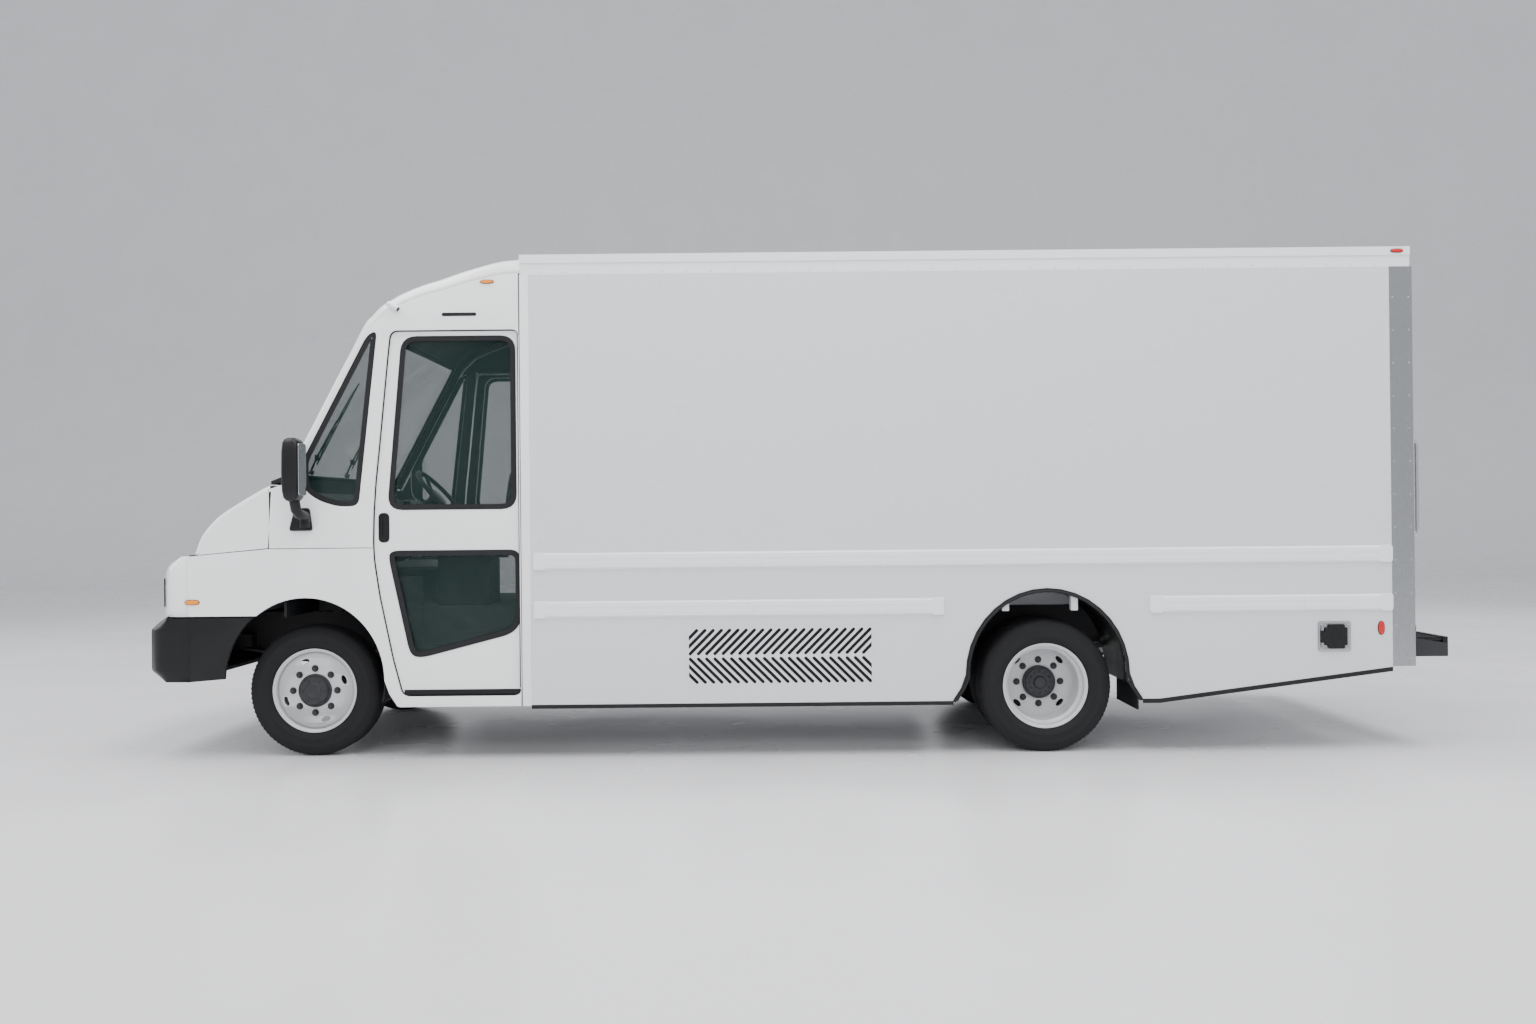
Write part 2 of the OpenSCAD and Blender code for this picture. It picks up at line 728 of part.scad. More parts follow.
module cab_side() {
    color([0.95, 0.95, 0.95]) slab(-hw, -skin_y) difference() {
        union() {
            polygon(near_axle(concat([[hood_rear, seam_z], [hood_rear, 1678],
                [hood_rear + 9, 1684], [hood_rear + 9, 1705]], roof_line, [[1323, seam_z]])));
            rect(axle_f + 588, cab_end, sill_z, seam_z);
        }
        offset(delta = -side_lap) door_outline();
        translate([-14, 0]) quarter_opening();
    }
    // Track plates above and below the sliding door.
    color([0.06, 0.06, 0.06]) {
        block(axle_f + 600, cab_end, -hw + 4, -inner_y - 4,
            door_z0 - track_t - clear, door_z0 - clear);
        block(cab_end - 1, cab_end + door_travel, -skin_y, -inner_y - 4,
            door_z0 - track_t - clear, door_z0 - clear);
        block(axle_f + 540, cab_end + door_travel, -skin_y, -inner_y,
            up(door_z1) + clear, up(door_z1) + 40);
        mirror_mount();
    }
}
module cab_side_left() { cab_side(); }
module cab_side_right() { on_right() cab_side(); }

// Transverse panel that follows the cab's roof line behind the windshield.
module roof_band(t) {
    crown = [for (p = roof_line) if (p[0] >= screen_top[0]) p];
    polygon(near_axle(concat(crown, reversed([for (p = crown) [p[0], p[1] - t]]))));
}
screen_dx = 14;
module screen_outline() {
    polygon(near_axle([screen_base, screen_top, screen_top + [screen_dx, -6],
        screen_base + [screen_dx, 0]]));
}
module cab_roof() {
    color([0.95, 0.95, 0.95]) slab(-skin_y, skin_y) difference() {
        roof_band(deck_t);
        screen_outline();
    }
}

module cab_glass() {
    color([0.35, 0.42, 0.40, 0.5]) {
        slab(-skin_y, skin_y) screen_outline();
        both_sides() slab(-skin_y, -skin_y + glass_t)
            offset(delta = side_lap) translate([-14, 0]) quarter_opening();
    }
}

// Firewall, the shelf below the windshield and the hinge pins of the hood.
fire_x = axle_f - 150;
hood_pin = [axle_f + hood_rear + 1.5, 1695];
hood_pin_r = 3;
hood_barrel_r = 6;
hood_ear_y = 620;
module cowl() {
    color([0.20, 0.21, 0.22]) {
        block(fire_x, fire_x + 16, -inner_y, inner_y, floor_z0, belt_z - 30);
        slab(-skin_y, skin_y) polygon([[axle_f + hood_rear + 9, 1685],
            [axle_f + hood_rear + 9, 1705], [axle_f - 145, belt_z], [axle_f - 131, belt_z],
            [axle_f - 131, belt_z - 31], [axle_f - 150, belt_z - 31]]);
        for (s = [-1, 1], e = [-1, 1]) {
            y = s * hood_ear_y + e * 31;
            bar_y(hood_pin[0], hood_pin[1], hood_barrel_r, y - 10, y + 10);
            block(hood_pin[0], hood_pin[0] + 12, y - 10, y + 10, hood_pin[1] - hood_barrel_r,
                hood_pin[1] - 1);
        }
        for (s = [-1, 1]) bar_y(hood_pin[0], hood_pin[1], hood_pin_r,
            s * hood_ear_y - 30, s * hood_ear_y + 30);
        both_sides() block(fire_x, fire_x + 16, inner_y, skin_y, seam_z + 10, belt_z - 30);
    }
}

hood_t = 14;
module hood_shape() {
    polygon(near_axle(concat(hood_line, [[-221, seam_z + 5]])));
}
module hood() {
    color([0.95, 0.95, 0.95]) {
        difference() {
            slab(-hw, hw) hood_shape();
            slab(-hw + skin_t, hw - skin_t) translate([hood_t, -hood_t]) hood_shape();
            slab(-hw + skin_t, hw - skin_t)
                rect(axle_f - 660, axle_f - 200, 1200, 1330);
            slab(-hw + skin_t, hw - skin_t)
                rect(axle_f - 300, axle_f - 200, 1200, 1640);
        }
        for (s = [-1, 1]) difference() {
            union() {
                bar_y(hood_pin[0], hood_pin[1], hood_barrel_r, s * hood_ear_y - 20,
                    s * hood_ear_y + 20);
                block(hood_pin[0] - 20, hood_pin[0], s * hood_ear_y - 20,
                    s * hood_ear_y + 20, hood_pin[1] - hood_barrel_r, hood_pin[1] - 1);
            }
            bar_y(hood_pin[0], hood_pin[1], hood_pin_r + 0.1, s * hood_ear_y - 21,
                s * hood_ear_y + 21);
        }
    }
}

// Fenders beside the wheels and the front panel with its grille and lamp openings.
lamp_y0 = 720;
lamp_y1 = 1130;
lamp_z0 = 930;
lamp_z1 = 1110;
nose_z0 = 883;
nose_centre = -1000;
nose_t = 30;
module nose_panels() {
    color([0.95, 0.95, 0.95]) {
        both_sides() slab(-hw, -skin_y) difference() {
            polygon([[axle_f - 850, nose_z0], [axle_f - 850, fender_z - 48],
                [axle_f - 815, fender_z - 20], [axle_f - 760, fender_z],
                [axle_f - 693, fender_z],
                [axle_f + hood_rear, seam_z], [axle_f + 588, seam_z],
                [axle_f + 588, sill_z], [axle_f + 300, sill_z], [axle_f, nose_z0]]);
            arch(axle_f);
            offset(delta = -side_lap) door_outline();
        }
        difference() {
            translate([0, 0, nose_z0]) linear_extrude(fender_z - nose_z0)
                front_band(nose_centre, nose_t, hw);
            both_sides() block(x_front, axle_f, lamp_y0, lamp_y1, lamp_z0, lamp_z1);
            for (z = [nose_z0 + 60:46:fender_z - 100])
                block(x_front, axle_f, -560, 560, z, z + 22);
        }
        // Ledge between the front panel and the hood.
        translate([0, 0, fender_z - 14]) linear_extrude(14) difference() {
            polygon(concat(front_curve(nose_centre + nose_t, skin_y),
                [[axle_f - 640, skin_y], [axle_f - 640, -skin_y]]));
            polygon([[axle_f - 680, -skin_y - 1], [axle_f - 680, skin_y + 1],
                [axle_f - 600, skin_y + 1], [axle_f - 600, -skin_y - 1]]);
        }
    }
}

module headlamps() {
    color([0.80, 0.84, 0.86]) both_sides() intersection() {
        translate([0, 0, lamp_z0]) linear_extrude(lamp_z1 - lamp_z0)
            front_band(nose_centre, nose_t + 30, hw - 1);
        block(x_front, axle_f, lamp_y0, lamp_y1, lamp_z0, lamp_z1);
    }
}

bumper_z0 = 481;
bumper_z1 = 877;
module front_bumper() {
    chamfer = 75;
    color([0.07, 0.07, 0.08]) {
        difference() {
            translate([0, 0, bumper_z0]) linear_extrude(bumper_z1 - bumper_z0)
                front_band(-front_overhang, bumper_t, hw);
            span(x_front - 1, x_front + 400) both_sides2d() polygon([[hw + 1, bumper_z0 - 1],
                [hw - chamfer, bumper_z0 - 1], [hw + 1, bumper_z0 + chamfer]]);
        }
        // Side returns that run back to the wheel arch.
        both_sides() slab(-hw, -skin_y) difference() {
            rect(axle_f - front_overhang + nose_sweep, axle_f - 200, bumper_z0, bumper_z1);
            translate([-6, 0]) arch(axle_f);
        }
    }
}
module both_sides2d() {
    children();
    mirror([1, 0]) children();
}

// ---- Sliding cab doors ----
module side_door() {
    color([0.95, 0.95, 0.95]) slab(-door_y1, -door_y0) difference() {
        door_outline();
        door_windows();
    }
    // Recessed pull at the front edge.
    color([0.05, 0.05, 0.05]) block(axle_f + 450, axle_f + 510, -door_y1 - 5, -door_y1,
        1323, 1505);
}
module side_door_left() { side_door(); }
module side_door_right() { on_right() side_door(); }
module door_glass() {
    mid = (door_y0 + door_y1) / 2;
    color([0.35, 0.42, 0.40, 0.5])
        slab(-mid - glass_t / 2, -mid + glass_t / 2) door_windows();
}
module door_glass_left() { door_glass(); }
module door_glass_right() { on_right() door_glass(); }

// ---- Cab interior ----
brake_y = -driver_y - 20;
throttle_y = -driver_y + 130;
pedal_pin = [axle_f + 210, 1178];
pedal_r = 7;
module pedal_ears(y) {
    for (s = [-1, 1]) block(pedal_pin[0] - 16, pedal_pin[0] + 16,
        y + s * 17 - 4, y + s * 17 + 4, pedal_pin[1] - 16, 1290);
    bar_y(pedal_pin[0], pedal_pin[1], pedal_r, y - 21, y + 21);
}
module dashboard() {
    color([0.12, 0.12, 0.13]) {
        difference() {
            slab(-inner_y + 60, inner_y - 400) polygon([[fire_x + 16, 1180],
                [axle_f + 60, 1150], [axle_f + 330, 1330], [axle_f + 350, 1470],
                [axle_f + 250, 1560], [axle_f - 60, 1640], [fire_x + 16, 1640]]);
            on_column() translate([0, 0, -column_l]) cylinder(r = column_r, h = column_l);
        }
        block(axle_f + 200, axle_f + 262, -driver_y - 190, -driver_y + 190, 1540, 1680);
        pedal_ears(brake_y);
        pedal_ears(throttle_y);
    }
}

column_tilt = 48;
wheel_c = [axle_f + 643, -driver_y, 1620];
module on_column() {
    translate(wheel_c) rotate([0, column_tilt, 0]) children();
}
column_r = 26;
column_l = 430;
module steering_column() {
    color([0.10, 0.10, 0.10]) on_column() {
        translate([0, 0, -column_l]) cylinder(r = column_r, h = column_l - 70);
        translate([0, 0, -150]) cylinder(r = 45, h = 80);
    }
}
rim_tube = 15;
module steering_wheel() {
    rim = wheel_d / 2 - rim_tube;
    color([0.06, 0.06, 0.06]) on_column() {
        rotate_extrude() translate([rim, 0]) circle(r = rim_tube, $fn = 32);
        translate([0, 0, -69.7]) cylinder(r = 48, h = 60);
        for (a = [90, 210, 330]) rotate(a)
            translate([30, -14, -32]) cube([rim - 34, 28, 30]);
    }
}

// Hanging pedals, each on a pin between two ears below the dashboard.
module pedal(y, w, h) {
    x = pedal_pin[0];
    z = pedal_pin[1];
    foot = floor_h + 100;
    color([0.10, 0.10, 0.10]) {
        difference() {
            union() {
                bar_y(x, z, pedal_r + 9, y - 12, y + 12);
                slab(y - 8, y + 8) polygon([[x - 7, z], [x + 7, z], [x + 16, foot + 10],
                    [x + 2, foot + 10]]);
            }
            bar_y(x, z, pedal_r + 0.1, y - 13, y + 13);
        }
        slab(y - w / 2, y + w / 2) polygon([[x + 6, foot + 10 + h], [x + 22, foot + 6 + h],
            [x + 34, foot], [x + 12, foot - 4]]);
    }
}
module brake_pedal() { pedal(brake_y, 90, 60); }
module accelerator_pedal() { pedal(throttle_y, 60, 80); }

seat_x = axle_f + 620;
seat_len = 440;
seat_z = floor_h + 390;
module seat_base() {
    color([0.10, 0.10, 0.11]) {
        block(seat_x + 40, seat_x + 380, -driver_y - 160, -driver_y + 160, floor_h, seat_z - 90);
        for (s = [-1, 1]) block(seat_x - seat_travel, seat_x + seat_len, -driver_y + s * 150 - 15,
            -driver_y + s * 150 + 15, seat_z - 90, seat_z - 70);
    }
}
module seat_cushion() {
    color([0.13, 0.13, 0.14]) slab(-driver_y - seat_w / 2, -driver_y + seat_w / 2)
        polygon([for (p = concat(arc(40, 40, 40, 180, 270), arc(seat_len - 40, 40, 40, 270, 360),
            arc(seat_len - 40, 85, 40, 0, 90), arc(40, 85, 40, 90, 180)))
            [seat_x + p[0], seat_z - 70 + clear + p[1]]]);
}
back_h = 640;
back_lean = 8;
back_pin = [seat_x + seat_len + 24, seat_z + 20];
module seat_back() {
    color([0.13, 0.13, 0.14]) slab(-driver_y - seat_w / 2 + 10, -driver_y + seat_w / 2 - 10)
        translate(back_pin) rotate(-back_lean) polygon(concat(arc(-8, -8, 12, 180, 270),
            arc(62, -8, 12, 270, 360), arc(44, back_h - 30, 30, 0, 90),
            arc(10, back_h - 30, 30, 90, 180)));
    // Recliner plates beside the cushion.
    color([0.10, 0.10, 0.11]) for (s = [-1, 1]) {
        y = -driver_y + s * (seat_w / 2 + 4.6);
        slab(y - 4, y + 4) rounded(back_pin[0] - 70, back_pin[0] + 50, back_pin[1] - 30,
            back_pin[1] + 60, 20);
        bar_y(back_pin[0] + 20, back_pin[1] + 20, 12, y - 15, y + 15);
    }
}

// ---- Mirrors, wipers and lamps ----
mirror_pin = [axle_f + 23, hw + 52];
mirror_z0 = 1577;
mirror_z1 = 1955;
mirror_pin_r = 14;
module mirror_mount() {
    block(axle_f - 47, axle_f + 93, -hw - 22, -hw, 1400, 1540);
    translate([mirror_pin[0], -mirror_pin[1], 1420]) {
        cylinder(r = mirror_pin_r, h = 100);
        cylinder(r = 28, h = 30);
    }
    block(mirror_pin[0] - 20, mirror_pin[0] + 20, -mirror_pin[1], -hw - 20, 1422, 1448);
}
module side_mirror() {
    color([0.06, 0.06, 0.06]) {
        difference() {
            union() {
                translate([mirror_pin[0], -mirror_pin[1], 1451]) cylinder(r = 28, h = 60);
                block(mirror_pin[0] - 16, mirror_pin[0] + 16, -hw - 210, -mirror_pin[1],
                    1470, 1502);
            }
            translate([mirror_pin[0], -mirror_pin[1], 1440])
                cylinder(r = mirror_pin_r + 0.1, h = 90);
        }
        block(mirror_pin[0] - 16, mirror_pin[0] + 16, -hw - 210, -hw - 178, 1502, mirror_z0);
        span(axle_f - 56, axle_f + 54)
            rounded(-hw - 250, -hw - 90, mirror_z0, mirror_z1, 40);
    }
}
module mirror_left() { side_mirror(); }
module mirror_right() { on_right() side_mirror(); }

glass_run = [screen_top[0] - screen_base[0], up(screen_top[1]) - screen_base[1]];
glass_lean = atan2(glass_run[1], glass_run[0]);
wiper_up = 45;
wiper_l = 600;
module on_screen(y) {
    translate([axle_f + screen_base[0] + wiper_up * cos(glass_lean), y,
        screen_base[1] + wiper_up * sin(glass_lean)])
        rotate([0, -glass_lean, 0]) children();
}
module wiper(y) {
    color([0.05, 0.05, 0.05]) on_screen(y) {
        translate([0, 0, clear]) cylinder(r = 15, h = 26);
        translate([-6, 0, 17]) cube([12, wiper_l * 0.62, 7]);
        translate([-8, 60, 1]) cube([16, wiper_l, 9]);
        translate([-5, wiper_l * 0.5, 9.9]) cube([10, 60, 8]);
    }
}
module wiper_left() { wiper(-690); }
module wiper_right() { wiper(30); }

module side_lamp(x, z, w, h) {
    slab(-hw - 8, -hw) rounded(x - w / 2, x + w / 2, z - h / 2, z + h / 2, min(w, h) * 0.45);
}
tail_lamp_r = 38;
module marker_lamps() {
    color([0.85, 0.40, 0.05]) both_sides() {
        side_lamp(axle_f - 684, 970, 92, 34);
        side_lamp(axle_f + 1128, up(2994), 86, 26);
    }
    color([0.70, 0.04, 0.04]) both_sides() {
        side_lamp(post_x0 - 69, 747, 43, 85);
        side_lamp(post_x0 + 50, roof_h - 26, 80, 26);
        for (z = [640, 740]) translate([post_x1, -hw + post_w / 2, z]) rotate([0, 90, 0])
            cylinder(r = tail_lamp_r, h = 12);
    }
}

inlet_x0 = post_x0 - 456;
inlet_x1 = inlet_x0 + 198;
inlet_z0 = 608;
inlet_z1 = 790;
inlet_t = 8;
cover_hinge = [inlet_x0 + 22, hw + inlet_t + 9];
module charge_inlet() {
    mid = [(inlet_x0 + inlet_x1) / 2 + 8, (inlet_z0 + inlet_z1) / 2];
    color("silver") difference() {
        slab(-hw - inlet_t, -hw) rounded(inlet_x0, inlet_x1, inlet_z0, inlet_z1, 14);
        bar_y(mid[0], mid[1], 42, -hw - inlet_t - 1, -hw - 2);
    }
    color([0.08, 0.08, 0.08]) for (z = [mid[1] - 62, mid[1] + 38])
        difference() {
            union() {
                translate([cover_hinge[0], -cover_hinge[1], z]) cylinder(r = 8, h = 24);
                block(cover_hinge[0] - 8, cover_hinge[0] + 2, -cover_hinge[1], -hw - inlet_t,
                    z, z + 24);
            }
            translate([cover_hinge[0], -cover_hinge[1], z - 1]) cylinder(r = 3.1, h = 26);
        }
}
module charge_cover() {
    mid = [(inlet_x0 + inlet_x1) / 2 + 8, (inlet_z0 + inlet_z1) / 2];
    color([0.07, 0.07, 0.07]) {
        slab(-hw - inlet_t - 15, -hw - inlet_t - clear) {
            rounded(mid[0] - 70, mid[0] + 66, mid[1] - 36, mid[1] + 36, 10);
            rounded(mid[0] - 34, mid[0] + 34, mid[1] - 74, mid[1] + 74, 10);
        }
        translate([cover_hinge[0], -cover_hinge[1], mid[1] - 62]) cylinder(r = 3, h = 124);
        translate([cover_hinge[0], -cover_hinge[1], mid[1] - 36]) cylinder(r = 8, h = 72);
        block(cover_hinge[0], cover_hinge[0] + 20, -hw - inlet_t - 14, -hw - inlet_t - 3,
            mid[1] - 30, mid[1] + 30);
    }
}

chassis_frame();
battery_packs();
rear_drive_axle();
front_axle_beam();
steering_knuckle_left();
steering_knuckle_right();
tie_rod();
leaf_springs();
front_wheel_left();
front_wheel_right();
front_tyre_left();
front_tyre_right();
rear_wheels_left();
rear_wheels_right();
rear_tyres_left();
rear_tyres_right();
cargo_floor();
cargo_side_left();
cargo_side_right();
cargo_roof();
roof_rails();
rub_rails();
lower_trims();
vent_grille();
rear_frame();
rear_step();
rear_door_left();
rear_door_right();
rear_latch();
bulkhead();
bulkhead_door();
cab_floor();
cab_side_left();
cab_side_right();
cab_roof();
cowl();
hood();
nose_panels();
front_bumper();
headlamps();
cab_glass();
charge_inlet();
side_door_left();
side_door_right();
door_glass_left();
door_glass_right();
dashboard();
steering_column();
steering_wheel();
brake_pedal();
accelerator_pedal();
seat_base();
seat_cushion();
seat_back();
mirror_left();
mirror_right();
wiper_left();
wiper_right();
marker_lamps();
charge_cover();
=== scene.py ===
"""An electric walk-in mail delivery truck in a plain studio.

Lengths are in metres. +X points to the rear of the truck, -Y to the driver's side, +Z up.
"""

import math

import bmesh
import bpy
from mathutils import Matrix, Vector


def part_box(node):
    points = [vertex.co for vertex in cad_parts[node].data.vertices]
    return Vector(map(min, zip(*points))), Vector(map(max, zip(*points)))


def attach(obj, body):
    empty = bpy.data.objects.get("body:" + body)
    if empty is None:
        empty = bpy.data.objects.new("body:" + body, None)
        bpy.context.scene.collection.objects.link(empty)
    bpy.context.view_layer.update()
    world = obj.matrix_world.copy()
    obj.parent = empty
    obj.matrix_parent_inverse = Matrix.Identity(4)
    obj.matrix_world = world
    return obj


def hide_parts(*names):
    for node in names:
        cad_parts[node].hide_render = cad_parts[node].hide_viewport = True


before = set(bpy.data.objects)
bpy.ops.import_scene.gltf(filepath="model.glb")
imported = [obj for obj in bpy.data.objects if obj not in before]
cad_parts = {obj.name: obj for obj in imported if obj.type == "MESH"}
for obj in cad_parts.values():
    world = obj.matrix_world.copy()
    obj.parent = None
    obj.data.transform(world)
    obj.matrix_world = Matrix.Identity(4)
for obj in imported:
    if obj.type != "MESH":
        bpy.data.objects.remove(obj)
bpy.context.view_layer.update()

# ---------------------------------------------------------------- places taken from the frame


def low(node):
    """The CAD node's box corner with the smallest coordinates."""
    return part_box(node)[0]


def high(node):
    """The CAD node's box corner with the largest coordinates."""
    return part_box(node)[1]


def middle(node):
    """The centre of the CAD node's box."""
    return (low(node) + high(node)) / 2


TYRE_R = high("front_tyre_left").z / 2
AXLE_F = middle("front_tyre_left").x
AXLE_R = middle("rear_tyres_left").x
HALF_W = high("roof_rails").y
ROOF = high("roof_rails").z
CAB_END = high("cab_roof").x
SILL = low("cargo_side_left").z
SIDES = (("left", -1), ("right", 1))

WIPER_Y = {"left": -0.69, "right": 0.03}

# ---------------------------------------------------------------- camera and studio


def aim_camera():
    """The driver's side, square on, from a little under half the roof's height."""
    data = bpy.data.cameras.new("camera")
    data.lens = 30.6
    data.sensor_width = 36
    data.clip_end = 200
    camera = bpy.data.objects.new("camera", data)
    bpy.context.scene.collection.objects.link(camera)
    camera.location = (-0.136, -9.17, 1.46)
    camera.rotation_euler = (math.radians(90.2), math.radians(0.55), 0)
    bpy.context.scene.camera = camera


def area_light(name, place, target, size, power, colour=(1, 1, 1), mirrored=True):
    """A soft panel aimed at target; mirrored says whether gloss shows it."""
    data = bpy.data.lights.new(name, "AREA")
    data.shape = "RECTANGLE"
    data.size, data.size_y = size
    data.energy = power
    data.color = colour
    lamp = bpy.data.objects.new(name, data)
    lamp.location = place
    lamp.rotation_euler = (Vector(target) - Vector(place)).to_track_quat("-Z", "Y").to_euler()
    lamp.visible_glossy = mirrored
    bpy.context.scene.collection.objects.link(lamp)


def build_studio():
    """A pale floor that curves up into a pale wall, and soft overhead panels."""
    mesh = bpy.data.meshes.new("studio_floor")
    bm = bmesh.new()
    half, depth, rise, bend = 150, 26, 60, 6
    rows = [(-40, 0)] + [(depth - bend, 0)]
    rows += [(depth - bend + bend * math.sin(a), bend - bend * math.cos(a))
             for a in [math.radians(d) for d in range(9, 90, 9)]]
    rows += [(depth, bend), (depth, rise)]
    ends = [[bm.verts.new((x, y, z)) for y, z in rows] for x in (-half, half)]
    for i in range(len(rows) - 1):
        bm.faces.new((ends[0][i], ends[1][i], ends[1][i + 1], ends[0][i + 1]))
    bm.to_mesh(mesh)
    floor = bpy.data.objects.new("studio_floor", mesh)
    for polygon in mesh.polygons:
        polygon.use_smooth = True
    bpy.context.scene.collection.objects.link(floor)
    floor.data.materials.append(studio_material())
    world = bpy.data.worlds.new("studio")
    bpy.context.scene.world = world
    world.use_nodes = True
    background = world.node_tree.nodes["Background"]
    background.inputs["Color"].default_value = (0.93, 0.95, 1.0, 1)
    background.inputs["Strength"].default_value = 0.9
    for i, x in enumerate((-6, 0, 6)):
        area_light(f"panel_{i}", (x, -2.0, 8.5), (x, 0, 0), (3.2, 9), 560)
    area_light("side_fill", (-1, -13, 5.5), (0, 0, 1.2), (14, 4), 700, mirrored=False)
    area_light("rear_fill", (13, 6, 5), (2, 0, 1.5), (6, 4), 260)
    area_light("front_fill", (-13, 4, 5), (-3, 0, 1.5), (6, 4), 260)
    area_light("far_fill", (0, 12, 6), (0, 0, 1.5), (14, 4), 300)


# ---------------------------------------------------------------- node materials


def new_material(name):
    material = bpy.data.materials.new(name)
    material.use_nodes = True
    nodes = material.node_tree.nodes
    return material, nodes, material.node_tree.links, nodes["Principled BSDF"]


def node(nodes, kind, **values):
    made = nodes.new(kind)
    for key, value in values.items():
        if key in made.inputs:
            made.inputs[key].default_value = value
        else:
            setattr(made, key, value)
    return made


def noise(nodes, links, scale, detail=4.0, roughness=0.5, stretch=(1, 1, 1)):
    """Noise in the object's own metres, so it has a real scale."""
    where = nodes.new("ShaderNodeTexCoord")
    mapping = node(nodes, "ShaderNodeMapping", Scale=stretch)
    links.new(where.outputs["Object"], mapping.inputs["Vector"])
    made = node(nodes, "ShaderNodeTexNoise", Scale=scale, Detail=detail, Roughness=roughness)
    links.new(mapping.outputs["Vector"], made.inputs["Vector"])
    return made.outputs["Fac"]


def spread(nodes, links, value, low_value, high_value):
    """Maps 0.3..0.7 of a noise to a range of plain values."""
    made = node(nodes, "ShaderNodeMapRange")
    made.inputs["From Min"].default_value = 0.3
    made.inputs["From Max"].default_value = 0.7
    made.inputs["To Min"].default_value = low_value
    made.inputs["To Max"].default_value = high_value
    links.new(value, made.inputs["Value"])
    return made.outputs["Result"]


def blend_colours(nodes, links, factor, first, second):
    made = node(nodes, "ShaderNodeMix", data_type="RGBA")
    made.inputs[6].default_value = (*first, 1)
    made.inputs[7].default_value = (*second, 1)
    links.new(factor, made.inputs["Factor"])
    return made.outputs[2]


def bump(nodes, links, shader, height, strength, distance=0.001):
    made = node(nodes, "ShaderNodeBump", Strength=strength, Distance=distance)
    links.new(height, made.inputs["Height"])
    links.new(made.outputs["Normal"], shader.inputs["Normal"])


def studio_material():
    material, nodes, links, shader = new_material("studio_floor")
    grain = noise(nodes, links, 0.8)
    links.new(blend_colours(nodes, links, grain, (0.72, 0.72, 0.73), (0.78, 0.78, 0.79)),
              shader.inputs["Base Color"])
    links.new(spread(nodes, links, grain, 0.22, 0.32), shader.inputs["Roughness"])
    return material


def paint(name, colour, roughness=0.22, coat=0.6, dust=0.06):
    """Gloss enamel: fine orange peel, faint dust that gathers low on the body."""
    material, nodes, links, shader = new_material(name)
    where = nodes.new("ShaderNodeTexCoord")
    split = nodes.new("ShaderNodeSeparateXYZ")
    links.new(where.outputs["Object"], split.inputs["Vector"])
    height = node(nodes, "ShaderNodeMapRange")
    height.inputs["From Min"].default_value = 1.1
    height.inputs["From Max"].default_value = 0.3
    height.inputs["To Min"].default_value = 0.0
    height.inputs["To Max"].default_value = 1.0
    links.new(split.outputs["Z"], height.inputs["Value"])
    patches = noise(nodes, links, 2.3, detail=8, roughness=0.65)
    grime = node(nodes, "ShaderNodeMath", operation="MULTIPLY")
    links.new(height.outputs["Result"], grime.inputs[0])
    links.new(patches, grime.inputs[1])
    amount = node(nodes, "ShaderNodeMath", operation="MULTIPLY")
    links.new(grime.outputs[0], amount.inputs[0])
    amount.inputs[1].default_value = dust * 4
    dusty = tuple(c * 0.72 for c in colour)
    links.new(blend_colours(nodes, links, amount.outputs[0], colour, dusty),
              shader.inputs["Base Color"])
    links.new(spread(nodes, links, patches, roughness * 0.85, roughness * 1.2),
              shader.inputs["Roughness"])
    shader.inputs["Coat Weight"].default_value = coat
    shader.inputs["Coat Roughness"].default_value = 0.06
    peel = noise(nodes, links, 220, detail=2)
    bump(nodes, links, shader, peel, 0.05, 0.0004)
    return material


def plastic(name, colour, roughness=0.5, grain=420, depth=0.35):
    """Moulded plastic with a fine leather-like grain."""
    material, nodes, links, shader = new_material(name)
    tone = noise(nodes, links, 6, detail=6)
    pale = tuple(min(1, c * 1.3 + 0.002) for c in colour)
    links.new(blend_colours(nodes, links, tone, colour, pale), shader.inputs["Base Color"])
    links.new(spread(nodes, links, tone, roughness * 0.85, roughness * 1.15),
              shader.inputs["Roughness"])
    bump(nodes, links, shader, noise(nodes, links, grain, detail=3), depth, 0.0005)
    shader.inputs["Specular IOR Level"].default_value = 0.28
    return material


def metal(name, colour, roughness=0.35, brushed=(1, 1, 1), depth=0.12, metallic=1.0):
    """Metal with streaks along the axis that brushed leaves small."""
    material, nodes, links, shader = new_material(name)
    streak = noise(nodes, links, 90, detail=6, stretch=brushed)
    dark = tuple(c * 0.8 for c in colour)
    links.new(blend_colours(nodes, links, streak, dark, colour), shader.inputs["Base Color"])
    links.new(spread(nodes, links, streak, roughness * 0.75, roughness * 1.25),
              shader.inputs["Roughness"])
    shader.inputs["Metallic"].default_value = metallic
    bump(nodes, links, shader, streak, depth, 0.0003)
    return material


def glass(name, colour, alpha=0.35, roughness=0.03):
    """Tinted pane: mostly see-through, with a faint haze of dust."""
    material, nodes, links, shader = new_material(name)
    haze = noise(nodes, links, 3.0, detail=5)
    pale = tuple(min(1, c * 1.25) for c in colour)
    links.new(blend_colours(nodes, links, haze, colour, pale), shader.inputs["Base Color"])
    links.new(spread(nodes, links, haze, roughness * 0.7, roughness * 1.6),
              shader.inputs["Roughness"])
    shader.inputs["Alpha"].default_value = alpha
    shader.inputs["Specular IOR Level"].default_value = 0.6
    return material


